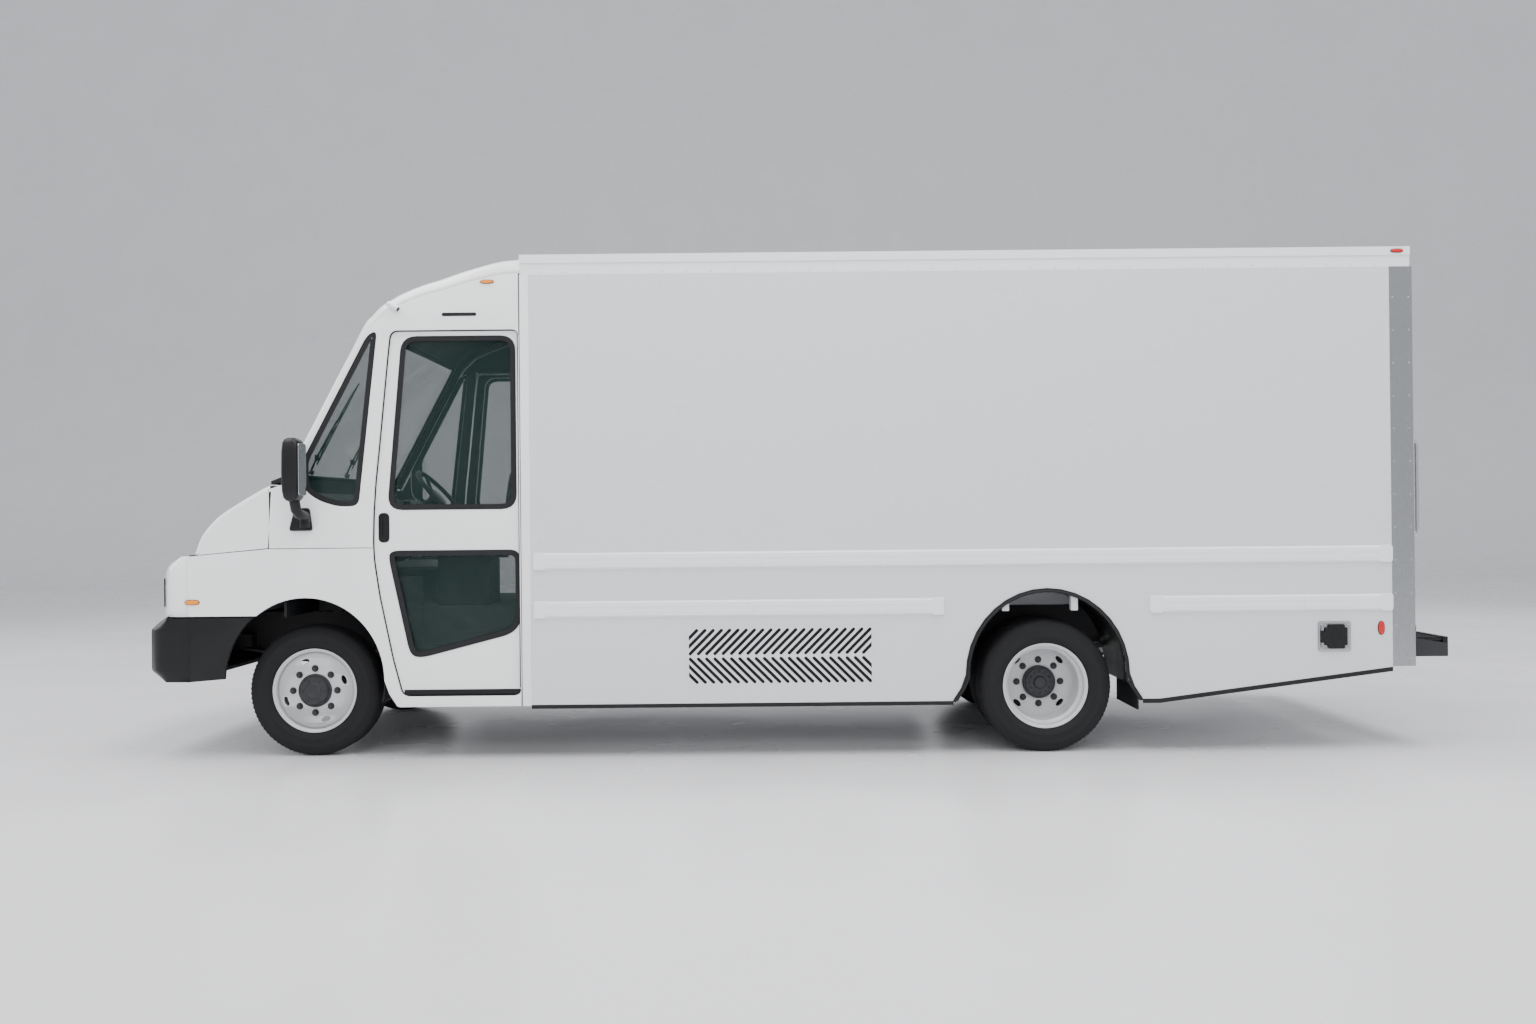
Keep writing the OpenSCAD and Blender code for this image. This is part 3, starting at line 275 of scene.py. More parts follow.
def rubber(name, colour=(0.010, 0.010, 0.011), roughness=0.75):
    """Tyre or seal rubber with a dusty bloom."""
    material, nodes, links, shader = new_material(name)
    bloom = noise(nodes, links, 9, detail=8, roughness=0.7)
    pale = tuple(c * 1.6 + 0.004 for c in colour)
    links.new(blend_colours(nodes, links, bloom, colour, pale), shader.inputs["Base Color"])
    links.new(spread(nodes, links, bloom, roughness * 0.9, roughness * 1.1),
              shader.inputs["Roughness"])
    bump(nodes, links, shader, noise(nodes, links, 260, detail=3), 0.25, 0.0004)
    shader.inputs["Specular IOR Level"].default_value = 0.2
    return material


def cloth(name, colour):
    """Woven seat cloth: two crossed sets of fine ribs."""
    material, nodes, links, shader = new_material(name)
    where = nodes.new("ShaderNodeTexCoord")
    ribs = []
    for axis in ("X", "Y"):
        wave = node(nodes, "ShaderNodeTexWave", Scale=190.0, Distortion=0.6)
        wave.bands_direction = axis
        links.new(where.outputs["Object"], wave.inputs["Vector"])
        ribs.append(wave.outputs["Fac"])
    weave = node(nodes, "ShaderNodeMath", operation="MAXIMUM")
    links.new(ribs[0], weave.inputs[0])
    links.new(ribs[1], weave.inputs[1])
    pale = tuple(c * 2.4 + 0.01 for c in colour)
    links.new(blend_colours(nodes, links, weave.outputs[0], colour, pale),
              shader.inputs["Base Color"])
    links.new(spread(nodes, links, noise(nodes, links, 30), 0.8, 0.95),
              shader.inputs["Roughness"])
    shader.inputs["Sheen Weight"].default_value = 0.35
    bump(nodes, links, shader, weave.outputs[0], 0.6, 0.0006)
    return material


WHITE = paint("white_paint", (0.90, 0.91, 0.91))
# The cargo body's grey is painted shade: its white is darkened well below the rails and cab to stand in for
# the shade on the side panels.
SHADED_SIDE_WHITE = paint("side_paint_with_painted_shade", (0.66, 0.68, 0.70), roughness=0.3, coat=0.35)
RAIL_WHITE = paint("rail_paint", (0.86, 0.87, 0.88), roughness=0.3, coat=0.3)
ALUMINIUM = metal("brushed_aluminium", (0.44, 0.45, 0.46), 0.30, (12, 12, 0.4))
STEEL = metal("satin_steel", (0.62, 0.63, 0.64), 0.3, (12, 12, 1))
FRAME_BLACK = metal("frame_paint", (0.035, 0.035, 0.038), 0.5, metallic=0.3)
CAST = metal("cast_iron", (0.07, 0.07, 0.075), 0.6, depth=0.4, metallic=0.6)
CASE = metal("battery_case", (0.30, 0.31, 0.32), 0.45, (4, 4, 4))
RIM_PAINT = paint("rim_paint", (0.55, 0.56, 0.57), roughness=0.33, coat=0.2, dust=0.1)
DARK_IRON = metal("hub_iron", (0.045, 0.045, 0.048), 0.5, depth=0.3, metallic=0.5)
TYRE_RUBBER = rubber("tyre_rubber")
SEAL = rubber("seal_rubber", (0.012, 0.012, 0.013), 0.6)
BUMPER = plastic("bumper_plastic", (0.006, 0.006, 0.007), 0.4, 380, 0.35)
BLACK = plastic("black_plastic", (0.007, 0.007, 0.008), 0.38)
DASH = plastic("dash_plastic", (0.012, 0.0125, 0.0135), 0.6, 300, 0.5)
PANEL = paint("interior_panel", (0.55, 0.56, 0.56), roughness=0.5, coat=0.0)
FLOOR_METAL = metal("floor_metal", (0.42, 0.43, 0.44), 0.5, (0.5, 8, 8))
MAT_RUBBER = rubber("mat_rubber", (0.05, 0.05, 0.052), 0.8)
TINT = glass("tinted_glass", (0.008, 0.030, 0.025), 0.27)
LAMP_GLASS = glass("lamp_glass", (0.80, 0.84, 0.86), 0.35)
AMBER = glass("amber_lens", (0.85, 0.26, 0.02), 0.93, 0.12)
RED = glass("red_lens", (0.55, 0.01, 0.01), 0.95, 0.12)
FABRIC = cloth("seat_cloth", (0.02, 0.021, 0.024))
GLOSS_BLACK = plastic("gloss_black", (0.008, 0.008, 0.009), 0.16, 60, 0.02)
MIRROR = metal("mirror_silver", (0.85, 0.87, 0.88), 0.04, (1, 1, 1), 0.0)

NODE_MATERIALS = {
    FRAME_BLACK: ("chassis_frame", "seat_base"),
    CASE: ("battery_packs",),
    CAST: ("rear_drive_axle", "front_axle_beam", "steering_knuckle_left",
           "steering_knuckle_right", "tie_rod", "leaf_springs"),
    RIM_PAINT: ("front_wheel_left", "front_wheel_right", "rear_wheels_left",
                "rear_wheels_right"),
    TYRE_RUBBER: ("front_tyre_left", "front_tyre_right", "rear_tyres_left",
                  "rear_tyres_right"),
    FLOOR_METAL: ("cargo_floor",),
    # Cargo sides, roof, rear doors and vent take the darkened white that paints shade on the cargo body.
    SHADED_SIDE_WHITE: ("cargo_side_left", "cargo_side_right", "cargo_roof", "rear_door_left",
                 "rear_door_right", "vent_grille"),
    RAIL_WHITE: ("roof_rails", "rub_rails"),
    SEAL: ("lower_trims",),
    ALUMINIUM: ("rear_frame", "charge_inlet"),
    STEEL: ("rear_latch",),
    BUMPER: ("front_bumper", "rear_step"),
    PANEL: ("bulkhead", "bulkhead_door"),
    MAT_RUBBER: ("cab_floor",),
    WHITE: ("cab_side_left", "cab_side_right", "cab_roof", "hood", "nose_panels",
            "side_door_left", "side_door_right"),
    DASH: ("cowl", "dashboard"),
    LAMP_GLASS: ("headlamps",),
    TINT: ("cab_glass", "door_glass_left", "door_glass_right"),
    BLACK: ("steering_column", "steering_wheel", "brake_pedal", "accelerator_pedal",
            "mirror_left", "mirror_right", "wiper_left", "wiper_right", "charge_cover"),
    FABRIC: ("seat_cushion", "seat_back"),
    AMBER: ("marker_lamps",),
}


def dress_nodes():
    """Every CAD node that still shows gets its material and softly rounded edges."""
    for material, names in NODE_MATERIALS.items():
        for name in names:
            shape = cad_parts[name]
            shape.data.materials.clear()
            shape.data.materials.append(material)
            soft = shape.modifiers.new("soft_edges", "BEVEL")
            soft.width = 0.0025
            soft.segments = 2
            soft.limit_method = "ANGLE"
            soft.angle_limit = math.radians(38)
            soft.harden_normals = False


# ---------------------------------------------------------------- building pieces


class Shape:
    """Solids and sheets gathered into one piece, drawn for the driver's side (-Y)."""

    def __init__(self):
        self.bm = bmesh.new()

    def loft(self, rings, closed=False, caps=True):
        made = [[self.bm.verts.new(p) for p in ring] for ring in rings]
        count = len(rings[0])
        pairs = list(zip(made, made[1:])) + ([(made[-1], made[0])] if closed else [])
        for a, b in pairs:
            for i in range(count):
                j = (i + 1) % count
                self.bm.faces.new((a[i], a[j], b[j], b[i]))
        if caps and not closed:
            self.bm.faces.new(list(reversed(made[0])))
            self.bm.faces.new(made[-1])
        return self

    def grid(self, rows, keep=None):
        """A sheet through rows of points; keep(row, column) chooses its faces."""
        made = [[self.bm.verts.new(p) for p in row] for row in rows]
        for i in range(len(rows) - 1):
            for j in range(len(rows[0]) - 1):
                if keep is None or keep(i, j):
                    self.bm.faces.new((made[i][j], made[i][j + 1], made[i + 1][j + 1],
                                       made[i + 1][j]))
        for vert in [v for v in self.bm.verts if not v.link_faces]:
            self.bm.verts.remove(vert)
        return self

    def box(self, a, b):
        (x0, y0, z0), (x1, y1, z1) = a, b
        return self.loft([[(x0, y0, z), (x1, y0, z), (x1, y1, z), (x0, y1, z)] for z in (z0, z1)])

    def plate(self, outline, y0, y1):
        return self.loft([[(x, y, z) for x, z in outline] for y in (y0, y1)])

    def across(self, outline, x0, x1):
        return self.loft([[(x, y, z) for y, z in outline] for x in (x0, x1)])

    def bar(self, a, b, radius, steps=20, end=None):
        a, b = Vector(a), Vector(b)
        along = (b - a).normalized()
        side = along.orthogonal().normalized()
        turns = [2 * math.pi * i / steps for i in range(steps)]
        spokes = [math.cos(t) * side + math.sin(t) * along.cross(side) for t in turns]
        return self.loft([[p + r * s for s in spokes]
                          for p, r in ((a, radius), (b, radius if end is None else end))])

    def tube(self, path, radius, steps=10):
        """A round bar through a few points."""
        points = [Vector(p) for p in path]
        rings, side = [], None
        for i, p in enumerate(points):
            along = (points[min(i + 1, len(points) - 1)] - points[max(i - 1, 0)]).normalized()
            side = along.orthogonal() if side is None else side - side.dot(along) * along
            side = side.normalized()
            other = along.cross(side)
            rings.append([p + radius * (math.cos(t) * side + math.sin(t) * other)
                          for t in [2 * math.pi * k / steps for k in range(steps)]])
        return self.loft(rings)

    def turn(self, profile, centre, axis, steps=72):
        """Revolves a closed profile of (radius, distance along the axis), or one made per step."""
        centre, axis = Vector(centre), Vector(axis).normalized()
        side = axis.orthogonal().normalized()
        other = axis.cross(side)
        rings = []
        for i in range(steps):
            spoke = math.cos(2 * math.pi * i / steps) * side
            spoke += math.sin(2 * math.pi * i / steps) * other
            section = profile(i) if callable(profile) else profile
            rings.append([centre + r * spoke + z * axis for r, z in section])
        return self.loft(rings, closed=True)

    def panel(self, outer, holes, y0, y1, soft=0.0015):
        """A plate with holes and softened edges, from outlines of (x, z)."""
        curve = bpy.data.curves.new("outline", "CURVE")
        curve.dimensions = "2D"
        curve.fill_mode = "BOTH"
        curve.extrude = (y1 - y0) / 2 - soft
        curve.bevel_depth = soft
        curve.bevel_resolution = 2
        curve.offset = -soft
        for line in [outer, *holes]:
            spline = curve.splines.new("POLY")
            spline.points.add(len(line) - 1)
            for point, (x, z) in zip(spline.points, line):
                point.co = (x, z, 0, 1)
            spline.use_cyclic_u = True
        holder = bpy.data.objects.new("outline", curve)
        mesh = bpy.data.meshes.new_from_object(holder)
        mesh.transform(Matrix.Translation((0, (y0 + y1) / 2, 0)) @ Matrix.Rotation(math.pi / 2, 4, "X"))
        self.bm.from_mesh(mesh)
        bpy.data.objects.remove(holder)
        bpy.data.curves.remove(curve)
        bpy.data.meshes.remove(mesh)
        return self

    def both(self):
        """Adds the mirror image about the middle of the truck."""
        copy = bmesh.ops.duplicate(self.bm, geom=self.bm.verts[:] + self.bm.edges[:] + self.bm.faces[:])
        verts = [g for g in copy["geom"] if isinstance(g, bmesh.types.BMVert)]
        bmesh.ops.scale(self.bm, vec=(1, -1, 1), verts=verts)
        bmesh.ops.reverse_faces(self.bm, faces=[g for g in copy["geom"]
                                                if isinstance(g, bmesh.types.BMFace)])
        return self

    def piece(self, name, material, body, slot, gone=(), side=-1, soft=0.0015, angle=32, thick=0):
        bm = self.bm
        bmesh.ops.remove_doubles(bm, verts=bm.verts, dist=1e-5)
        bmesh.ops.recalc_face_normals(bm, faces=bm.faces)
        if side > 0:
            bmesh.ops.scale(bm, vec=(1, -1, 1), verts=bm.verts)
            bmesh.ops.reverse_faces(bm, faces=bm.faces)
        mesh = bpy.data.meshes.new(name)
        bm.to_mesh(mesh)
        bm.free()
        mesh.shade_smooth()
        mesh.set_sharp_from_angle(angle=math.radians(angle))
        mesh.materials.append(material)
        obj = bpy.data.objects.new(name, mesh)
        bpy.context.scene.collection.objects.link(obj)
        if thick:
            shell = obj.modifiers.new("thickness", "SOLIDIFY")
            shell.thickness = abs(thick)
            shell.offset = -1 if thick > 0 else 1
        if soft:
            edges = obj.modifiers.new("soft_edges", "BEVEL")
            edges.width = soft
            edges.segments = 2
            edges.limit_method = "ANGLE"
            edges.angle_limit = math.radians(angle)
            edges.harden_normals = True
        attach(obj, body)
        if gone:
            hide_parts(*gone)
        return obj


def rounded(points, radius, steps=5):
    """Rounds the corners of a closed outline."""
    out = []
    for i, p in enumerate(points):
        p, a, b = Vector(p), Vector(points[i - 1]), Vector(points[(i + 1) % len(points)])
        cut_a = min(radius, (a - p).length * 0.48) * (a - p).normalized()
        cut_b = min(radius, (b - p).length * 0.48) * (b - p).normalized()
        for k in range(steps + 1):
            t = k / steps
            out.append(tuple(p + cut_a * (1 - t) ** 2 + cut_b * t ** 2))
    return out


def rectangle(x0, x1, z0, z1):
    return [(x0, z0), (x1, z0), (x1, z1), (x0, z1)]


def grown(outline, amount):
    """A closed outline moved outwards by amount, or inwards if it is negative."""
    size = len(outline)
    area = sum(outline[i - 1][0] * outline[i][1] - outline[i][0] * outline[i - 1][1]
               for i in range(size))
    sign = amount if area > 0 else -amount
    out = []
    for i in range(size):
        p = Vector(outline[i])
        a, b = p - Vector(outline[i - 1]), Vector(outline[(i + 1) % size]) - p
        na, nb = Vector((a.y, -a.x)).normalized(), Vector((b.y, -b.x)).normalized()
        mean = (na + nb).normalized()
        out.append(tuple(p + mean * sign / max(0.5, mean.dot(na))))
    return out


def flowing(points, steps=4):
    """More points on a smooth curve through the given ones."""
    line = [Vector(p) for p in points]
    out = []
    for i in range(len(line) - 1):
        p0, p1 = line[max(i - 1, 0)], line[i]
        p2, p3 = line[i + 1], line[min(i + 2, len(line) - 1)]
        for k in range(steps):
            t = k / steps
            out.append(0.5 * (2 * p1 + (p2 - p0) * t + (2 * p0 - 5 * p1 + 4 * p2 - p3) * t ** 2
                              + (3 * p1 - p0 - 3 * p2 + p3) * t ** 3))
    return out + [line[-1]]


def from_axle(points):
    return [(AXLE_F + x / 1000, z / 1000) for x, z in points]


# ---------------------------------------------------------------- cab shell

SCREEN_LINE = from_axle([(-145, 1729), (-62, 1886), (22, 2044), (105, 2202), (188, 2360),
                         (272, 2517), (354, 2673)])
ROOF_LINE = from_axle([(354, 2673), (403, 2727), (464, 2787), (525, 2823), (586, 2856), (708, 2906),
                       (829, 2941), (951, 2982), (1073, 3017), (1195, 3046), (1323, 3058)])
HOOD_LINE = from_axle([(-693, 1256), (-663, 1340), (-632, 1400), (-571, 1473), (-510, 1527),
                       (-389, 1605), (-267, 1676), (-222, 1697)])
DOOR = rounded(from_axle([(534, 2613), (516, 2464), (462, 1929), (435, 1679), (423, 1499), (418, 1320),
                          (423, 1214), (454, 999), (498, 783), (534, 606), (569, 476), (591, 389),
                          (1313, 389), (1313, 2613)]), 0.045)
QUARTER = rounded(from_axle([(455, 2618), (334, 1547), (206, 1545), (85, 1585), (0, 1650),
                             (-6, 1830), (393, 2590)]), 0.05)
ARCH = from_axle([(-297, 883)] + [(482 * math.cos(math.radians(a)), 483 + 508 * math.sin(math.radians(a)))
                                  for a in range(125, -1, -5)] + [(512, 400), (560, 326)])
SKIN = 0.022


FLAT_STEPS = (0, 0.15, 0.3, 0.45, 0.6, 0.75, 0.87, 0.93, 0.965, 1.0)


def cross_section(point, ahead, radius, bow, turn=7):
    """Points across the truck at one station: bowed in the middle, rounded down at the sides."""
    inward = Vector((ahead.y, -ahead.x)).normalized()
    row = []
    half = HALF_W - radius
    side = [(half + radius * math.sin(a), radius * (1 - math.cos(a)))
            for a in [math.pi / 2 * k / turn for k in range(1, turn + 1)]]
    middle_part = [(half * k, 0) for k in FLAT_STEPS]
    for y, drop in [*reversed(side), *reversed(middle_part)]:
        row.append((-y, drop))
    row += [(y, drop) for y, drop in [*middle_part[1:], *side]]
    out = []
    for y, drop in row:
        depth = drop + bow * (y / HALF_W) ** 2
        spot = point + inward * depth
        out.append((spot.x, y, spot.y))
    return out


def stations(line, radii, bows, hold=0):
    """One cross section for each point of a side outline; radius and bow change after hold."""
    rows = []
    for i, point in enumerate(line):
        t = max(0, i - hold) / (len(line) - 1 - hold)
        ahead = (line[min(i + 1, len(line) - 1)] - line[max(i - 1, 0)])
        rows.append(cross_section(point, ahead, radii[0] + (radii[1] - radii[0]) * t,
                                  bows[0] + (bows[1] - bows[0]) * t))
    return rows


SCREEN_ROWS = 4 * (len(SCREEN_LINE) - 1)
CAB_ROWS = stations(flowing(SCREEN_LINE + ROOF_LINE[1:], 4), (0.045, 0.10), (0.022, 0.0), SCREEN_ROWS)


def build_cab_shell():
    """Windshield frame and roof in one skin, the curved windshield and its black border."""
    columns = len(CAB_ROWS[0]) - 1
    edge = 8

    def in_border(i, j):
        return 0 <= i < SCREEN_ROWS and edge <= j < columns - edge

    def in_glass(i, j):
        return 1 <= i < SCREEN_ROWS - 1 and edge + 1 <= j < columns - edge - 1

    Shape().grid(CAB_ROWS, lambda i, j: not in_border(i, j)).piece(
        "cab_skin", WHITE, "truck", "white_paint", ("cab_roof",), soft=0, angle=50, thick=0.006)
    Shape().grid(CAB_ROWS, in_glass).piece(
        "windshield", TINT, "truck", "tinted_glass", ("cab_glass",), soft=0, angle=60, thick=0.006)
    Shape().grid(CAB_ROWS, lambda i, j: in_border(i, j) and not in_glass(i, j)).piece(
        "windshield_border", SEAL, "truck", "black_plastic", soft=0, angle=60, thick=0.0075)


def side_points(rows, first, last):
    return [(row[0][0], row[0][2]) for row in rows[first:last]]


def build_cab_side(name, side):
    """The flat side of cab and fender with the door opening, quarter window and seams."""
    y0, y1 = -HALF_W, -HALF_W + SKIN
    edge = side_points(CAB_ROWS, 0, len(CAB_ROWS))
    hood_x = AXLE_F - 0.2135
    outer = [*ARCH, (AXLE_F + 0.578, SILL), (CAB_END - 0.007, SILL), (CAB_END - 0.007, edge[-1][1]),
             *reversed(edge[:-1]), (hood_x, 1.655), (hood_x, 1.2915), (AXLE_F - 0.71, 1.2495),
             (AXLE_F - 0.71, 0.883)]
    Shape().panel(outer, [grown(DOOR, 0.004), QUARTER], y0, y1).piece(
        f"cab_side_skin_{name}", WHITE, "truck", "white_paint", (f"cab_side_{name}",), side, soft=0)
    seams = Shape().plate(rectangle(CAB_END - 0.008, CAB_END + 0.001, SILL, edge[-1][1]), y0 + 0.006, y1)
    seams.plate([(hood_x + 0.001, 1.2905), (AXLE_F + 0.414, 1.2905), (AXLE_F + 0.414, 1.2945),
                 (hood_x + 0.001, 1.2945)], y0 - 0.0006, y0 + 0.002)
    seams.plate([(AXLE_F - 0.70, 1.2485), (hood_x - 0.001, 1.2895), (hood_x - 0.001, 1.2985),
                 (AXLE_F - 0.70, 1.2575)],
                y0 + 0.0008, y0 + 0.006)
    seams.plate(rectangle(hood_x - 0.0035, hood_x - 0.0004, 1.295, 1.655), y0 + 0.0008, y0 + 0.004)
    seams.piece(f"cab_seams_{name}", SEAL, "truck", "black_rubber", side=side, soft=0)
    arch_liner(name, side)
    Shape().panel(grown(DOOR, 0.012), [grown(DOOR, -0.016)], -1.1885, -1.1835).piece(
        f"door_seal_{name}", SEAL, "truck", "black_rubber", side=side, soft=0)
    Shape().panel(grown(QUARTER, 0.004), [grown(QUARTER, -0.034)], y0 + 0.0035, y0 + 0.007).piece(
        f"quarter_border_{name}", SEAL, "truck", "black_plastic", side=side, soft=0)
    Shape().panel(grown(QUARTER, 0.006), [], y0 + 0.007, y0 + 0.013).piece(
        f"quarter_glass_{name}", TINT, "truck", "tinted_glass", side=side, soft=0)
    liner = Shape().plate(rectangle(AXLE_F + 0.54, CAB_END + 0.70, 2.616, 2.652), -1.196, -1.15)
    liner.plate(rectangle(AXLE_F + 0.60, CAB_END - 0.001, 0.356, 0.386), -1.213, -1.15)
    liner.plate(rectangle(CAB_END - 0.001, CAB_END + 0.70, 0.356, 0.386), -1.196, -1.15)
    liner.piece(f"door_tracks_{name}", BLACK, "truck", "black_plastic", side=side)
    mount = Shape().turn([(0.0, 0), (0.028, 0), (0.028, 0.03), (0.0135, 0.034), (0.0135, 0.1), (0, 0.1)],
                         (AXLE_F + 0.023, -HALF_W - 0.052, 1.42), (0, 0, 1), 32)
    foot = [(AXLE_F - 0.085, 1.40), (AXLE_F + 0.057, 1.40), (AXLE_F + 0.054, 1.43), (AXLE_F + 0.040, 1.54),
            (AXLE_F - 0.050, 1.54), (AXLE_F - 0.080, 1.43)]
    mount.panel(rounded(foot, 0.02), [], -HALF_W - 0.022, -HALF_W, 0.008)
    mount.box((AXLE_F + 0.003, -HALF_W - 0.052, 1.422), (AXLE_F + 0.043, -HALF_W - 0.02, 1.448))
    mount.piece(f"mirror_mount_{name}", BLACK, "truck", "black_plastic", side=side, soft=0.002)


UPPER_WINDOW = rounded(from_axle([(604, 2575), (510, 1530), (1283, 1530), (1283, 2575)]), 0.085)
LOWER_WINDOW = rounded(from_axle([(519, 1265), (519, 1210), (641, 640), (704, 626), (1249, 765),
                                  (1306, 830), (1306, 1265)]), 0.062)


def build_door(name, side):
    """Sliding door: panel, gaskets, two panes, pull recess, kick strip and inner handle."""
    body = f"door_{name}"
    face = -1.19
    door = Shape().panel(DOOR, [UPPER_WINDOW, LOWER_WINDOW], face, face + 0.034, 0.004)
    door.piece(f"door_panel_{name}", WHITE, body, "white_paint", (f"side_door_{name}",), side, soft=0)
    gasket = Shape()
    panes = Shape()
    for window in (UPPER_WINDOW, LOWER_WINDOW):
        gasket.panel(grown(window, 0.009), [grown(window, -0.024)], face - 0.0035, face + 0.004, 0.0015)
        panes.panel(grown(window, -0.004), [], face + 0.014, face + 0.02, 0.0005)
    gasket.piece(f"window_gaskets_{name}", SEAL, body, "black_rubber", side=side, soft=0)
    panes.piece(f"door_panes_{name}", TINT, body, "tinted_glass", (f"door_glass_{name}",), side, soft=0)
    x0, x1 = AXLE_F + 0.446, AXLE_F + 0.513
    pull = rounded(rectangle(x0, x1, 1.323, 1.505), 0.032, 7)
    trim = Shape().panel(pull, [grown(pull, -0.009)], face - 0.0045, face + 0.002, 0.0015)
    trim.panel(grown(pull, -0.008), [], face - 0.0012, face + 0.001, 0.0003)
    trim.tube([(x0 + 0.014, face - 0.001, 1.345), (x0 + 0.022, face - 0.0045, 1.36),
               (x0 + 0.022, face - 0.0045, 1.47), (x0 + 0.014, face - 0.001, 1.485)], 0.004, 8)
    trim.panel(rectangle(AXLE_F + 0.597, AXLE_F + 1.311, 0.3895, 0.423), [], face - 0.004,
               face + 0.001, 0.001)
    trim.panel(rectangle(AXLE_F + 1.302, AXLE_F + 1.311, 0.43, 2.605), [], face - 0.003,
               face + 0.001, 0.001)
    inner = -1.1525
    trim.tube([(AXLE_F + 0.50, inner, 1.30), (AXLE_F + 0.50, inner + 0.002, 1.33),
               (AXLE_F + 0.50, inner + 0.002, 1.47), (AXLE_F + 0.50, inner, 1.50)], 0.0055, 8)
    trim.piece(f"door_trim_{name}", BLACK, body, "black_plastic", side=side, soft=0)


def arch_liner(name, side):
    """Black inner lining of the front wheel arch, with a rolled lip."""
    turns = [math.radians(a) for a in range(125, -16, -5)]
    rows = []
    for y, radius in ((-1.2165, 1.0), (-1.2, 1.004), (-1.19, 1.02), (-0.62, 1.02)):
        rows.append([(AXLE_F + 0.482 * radius * math.cos(a), y, 0.483 + 0.508 * radius * math.sin(a))
                     for a in turns])
    Shape().grid(rows).piece(f"arch_liner_{name}", BLACK, "truck", "black_plastic", side=side,
                             soft=0, angle=60, thick=-0.004)


# ---------------------------------------------------------------- hood, fascia and bumper

HOOD_ROWS = stations(flowing(HOOD_LINE, 4), (0.040, 0.040), (0.012, 0.020))


def build_hood():
    """Hood skin with rounded sides, side panels, inner frame and hinges."""
    Shape().grid(HOOD_ROWS).piece("hood_skin", WHITE, "hood", "white_paint", ("hood",), soft=0,
                                  angle=50, thick=0.006)
    edge = side_points(HOOD_ROWS, 0, len(HOOD_ROWS))
    outline = [*edge, (AXLE_F - 0.2215, 1.2975), (edge[0][0], 1.2600)]
    Shape().panel(outline, [], -HALF_W, -HALF_W + 0.012, 0.001).both().piece(
        "hood_sides", WHITE, "hood", "white_paint", soft=0)
    inner = Shape()
    for y in (-0.85, -0.3, 0.3, 0.85):
        spine = [(row[17][0] + 0.02, row[17][2] - 0.02) for row in HOOD_ROWS[6:-2]]
        inner.plate([*spine, *[(x + 0.02, z - 0.045) for x, z in reversed(spine)]], y - 0.02, y + 0.02)
    for y in (-0.62, 0.62):
        inner.bar((AXLE_F - 0.2135, y - 0.02, 1.695), (AXLE_F - 0.2135, y + 0.02, 1.695), 0.006)
        inner.box((AXLE_F - 0.26, y - 0.02, 1.689), (AXLE_F - 0.2135, y + 0.02, 1.694))
    inner.piece("hood_frame", BLACK, "hood", "black_plastic", soft=0.001)


def nose_path(ahead, corner, back):
    """Plan of the front end from one side to the other, (x, y), rounded at the corners."""
    half = HALF_W
    ys = [-1.15, -1.13, -1.04, -0.96, -0.88, -0.80, -0.72, -0.64, -0.56, -0.42, -0.28, -0.14]
    front = [(AXLE_F + ahead + 0.15 * (abs(y) / HALF_W) ** 4 + (corner if abs(y) > 1.14 else 0), y)
             for y in ys]
    side_part = [(AXLE_F + back, -half), (AXLE_F + ahead + 0.235, -half),
                 (AXLE_F + ahead + 0.205, -half + 0.003),
                 (AXLE_F + ahead + 0.172, -half + 0.017), (AXLE_F + ahead + 0.146, -half + 0.04)]
    left = side_part + front
    return left + [(AXLE_F + ahead, 0)] + [(x, -y) for x, y in reversed(left)]


def drawn_in(path, amount):
    """An open plan path moved inwards."""
    out = []
    for i, p in enumerate(path):
        a, b = Vector(path[max(i - 1, 0)]), Vector(path[min(i + 1, len(path) - 1)])
        along = (b - a).normalized()
        out.append((p[0] + amount * along.y, p[1] - amount * along.x))
    return out


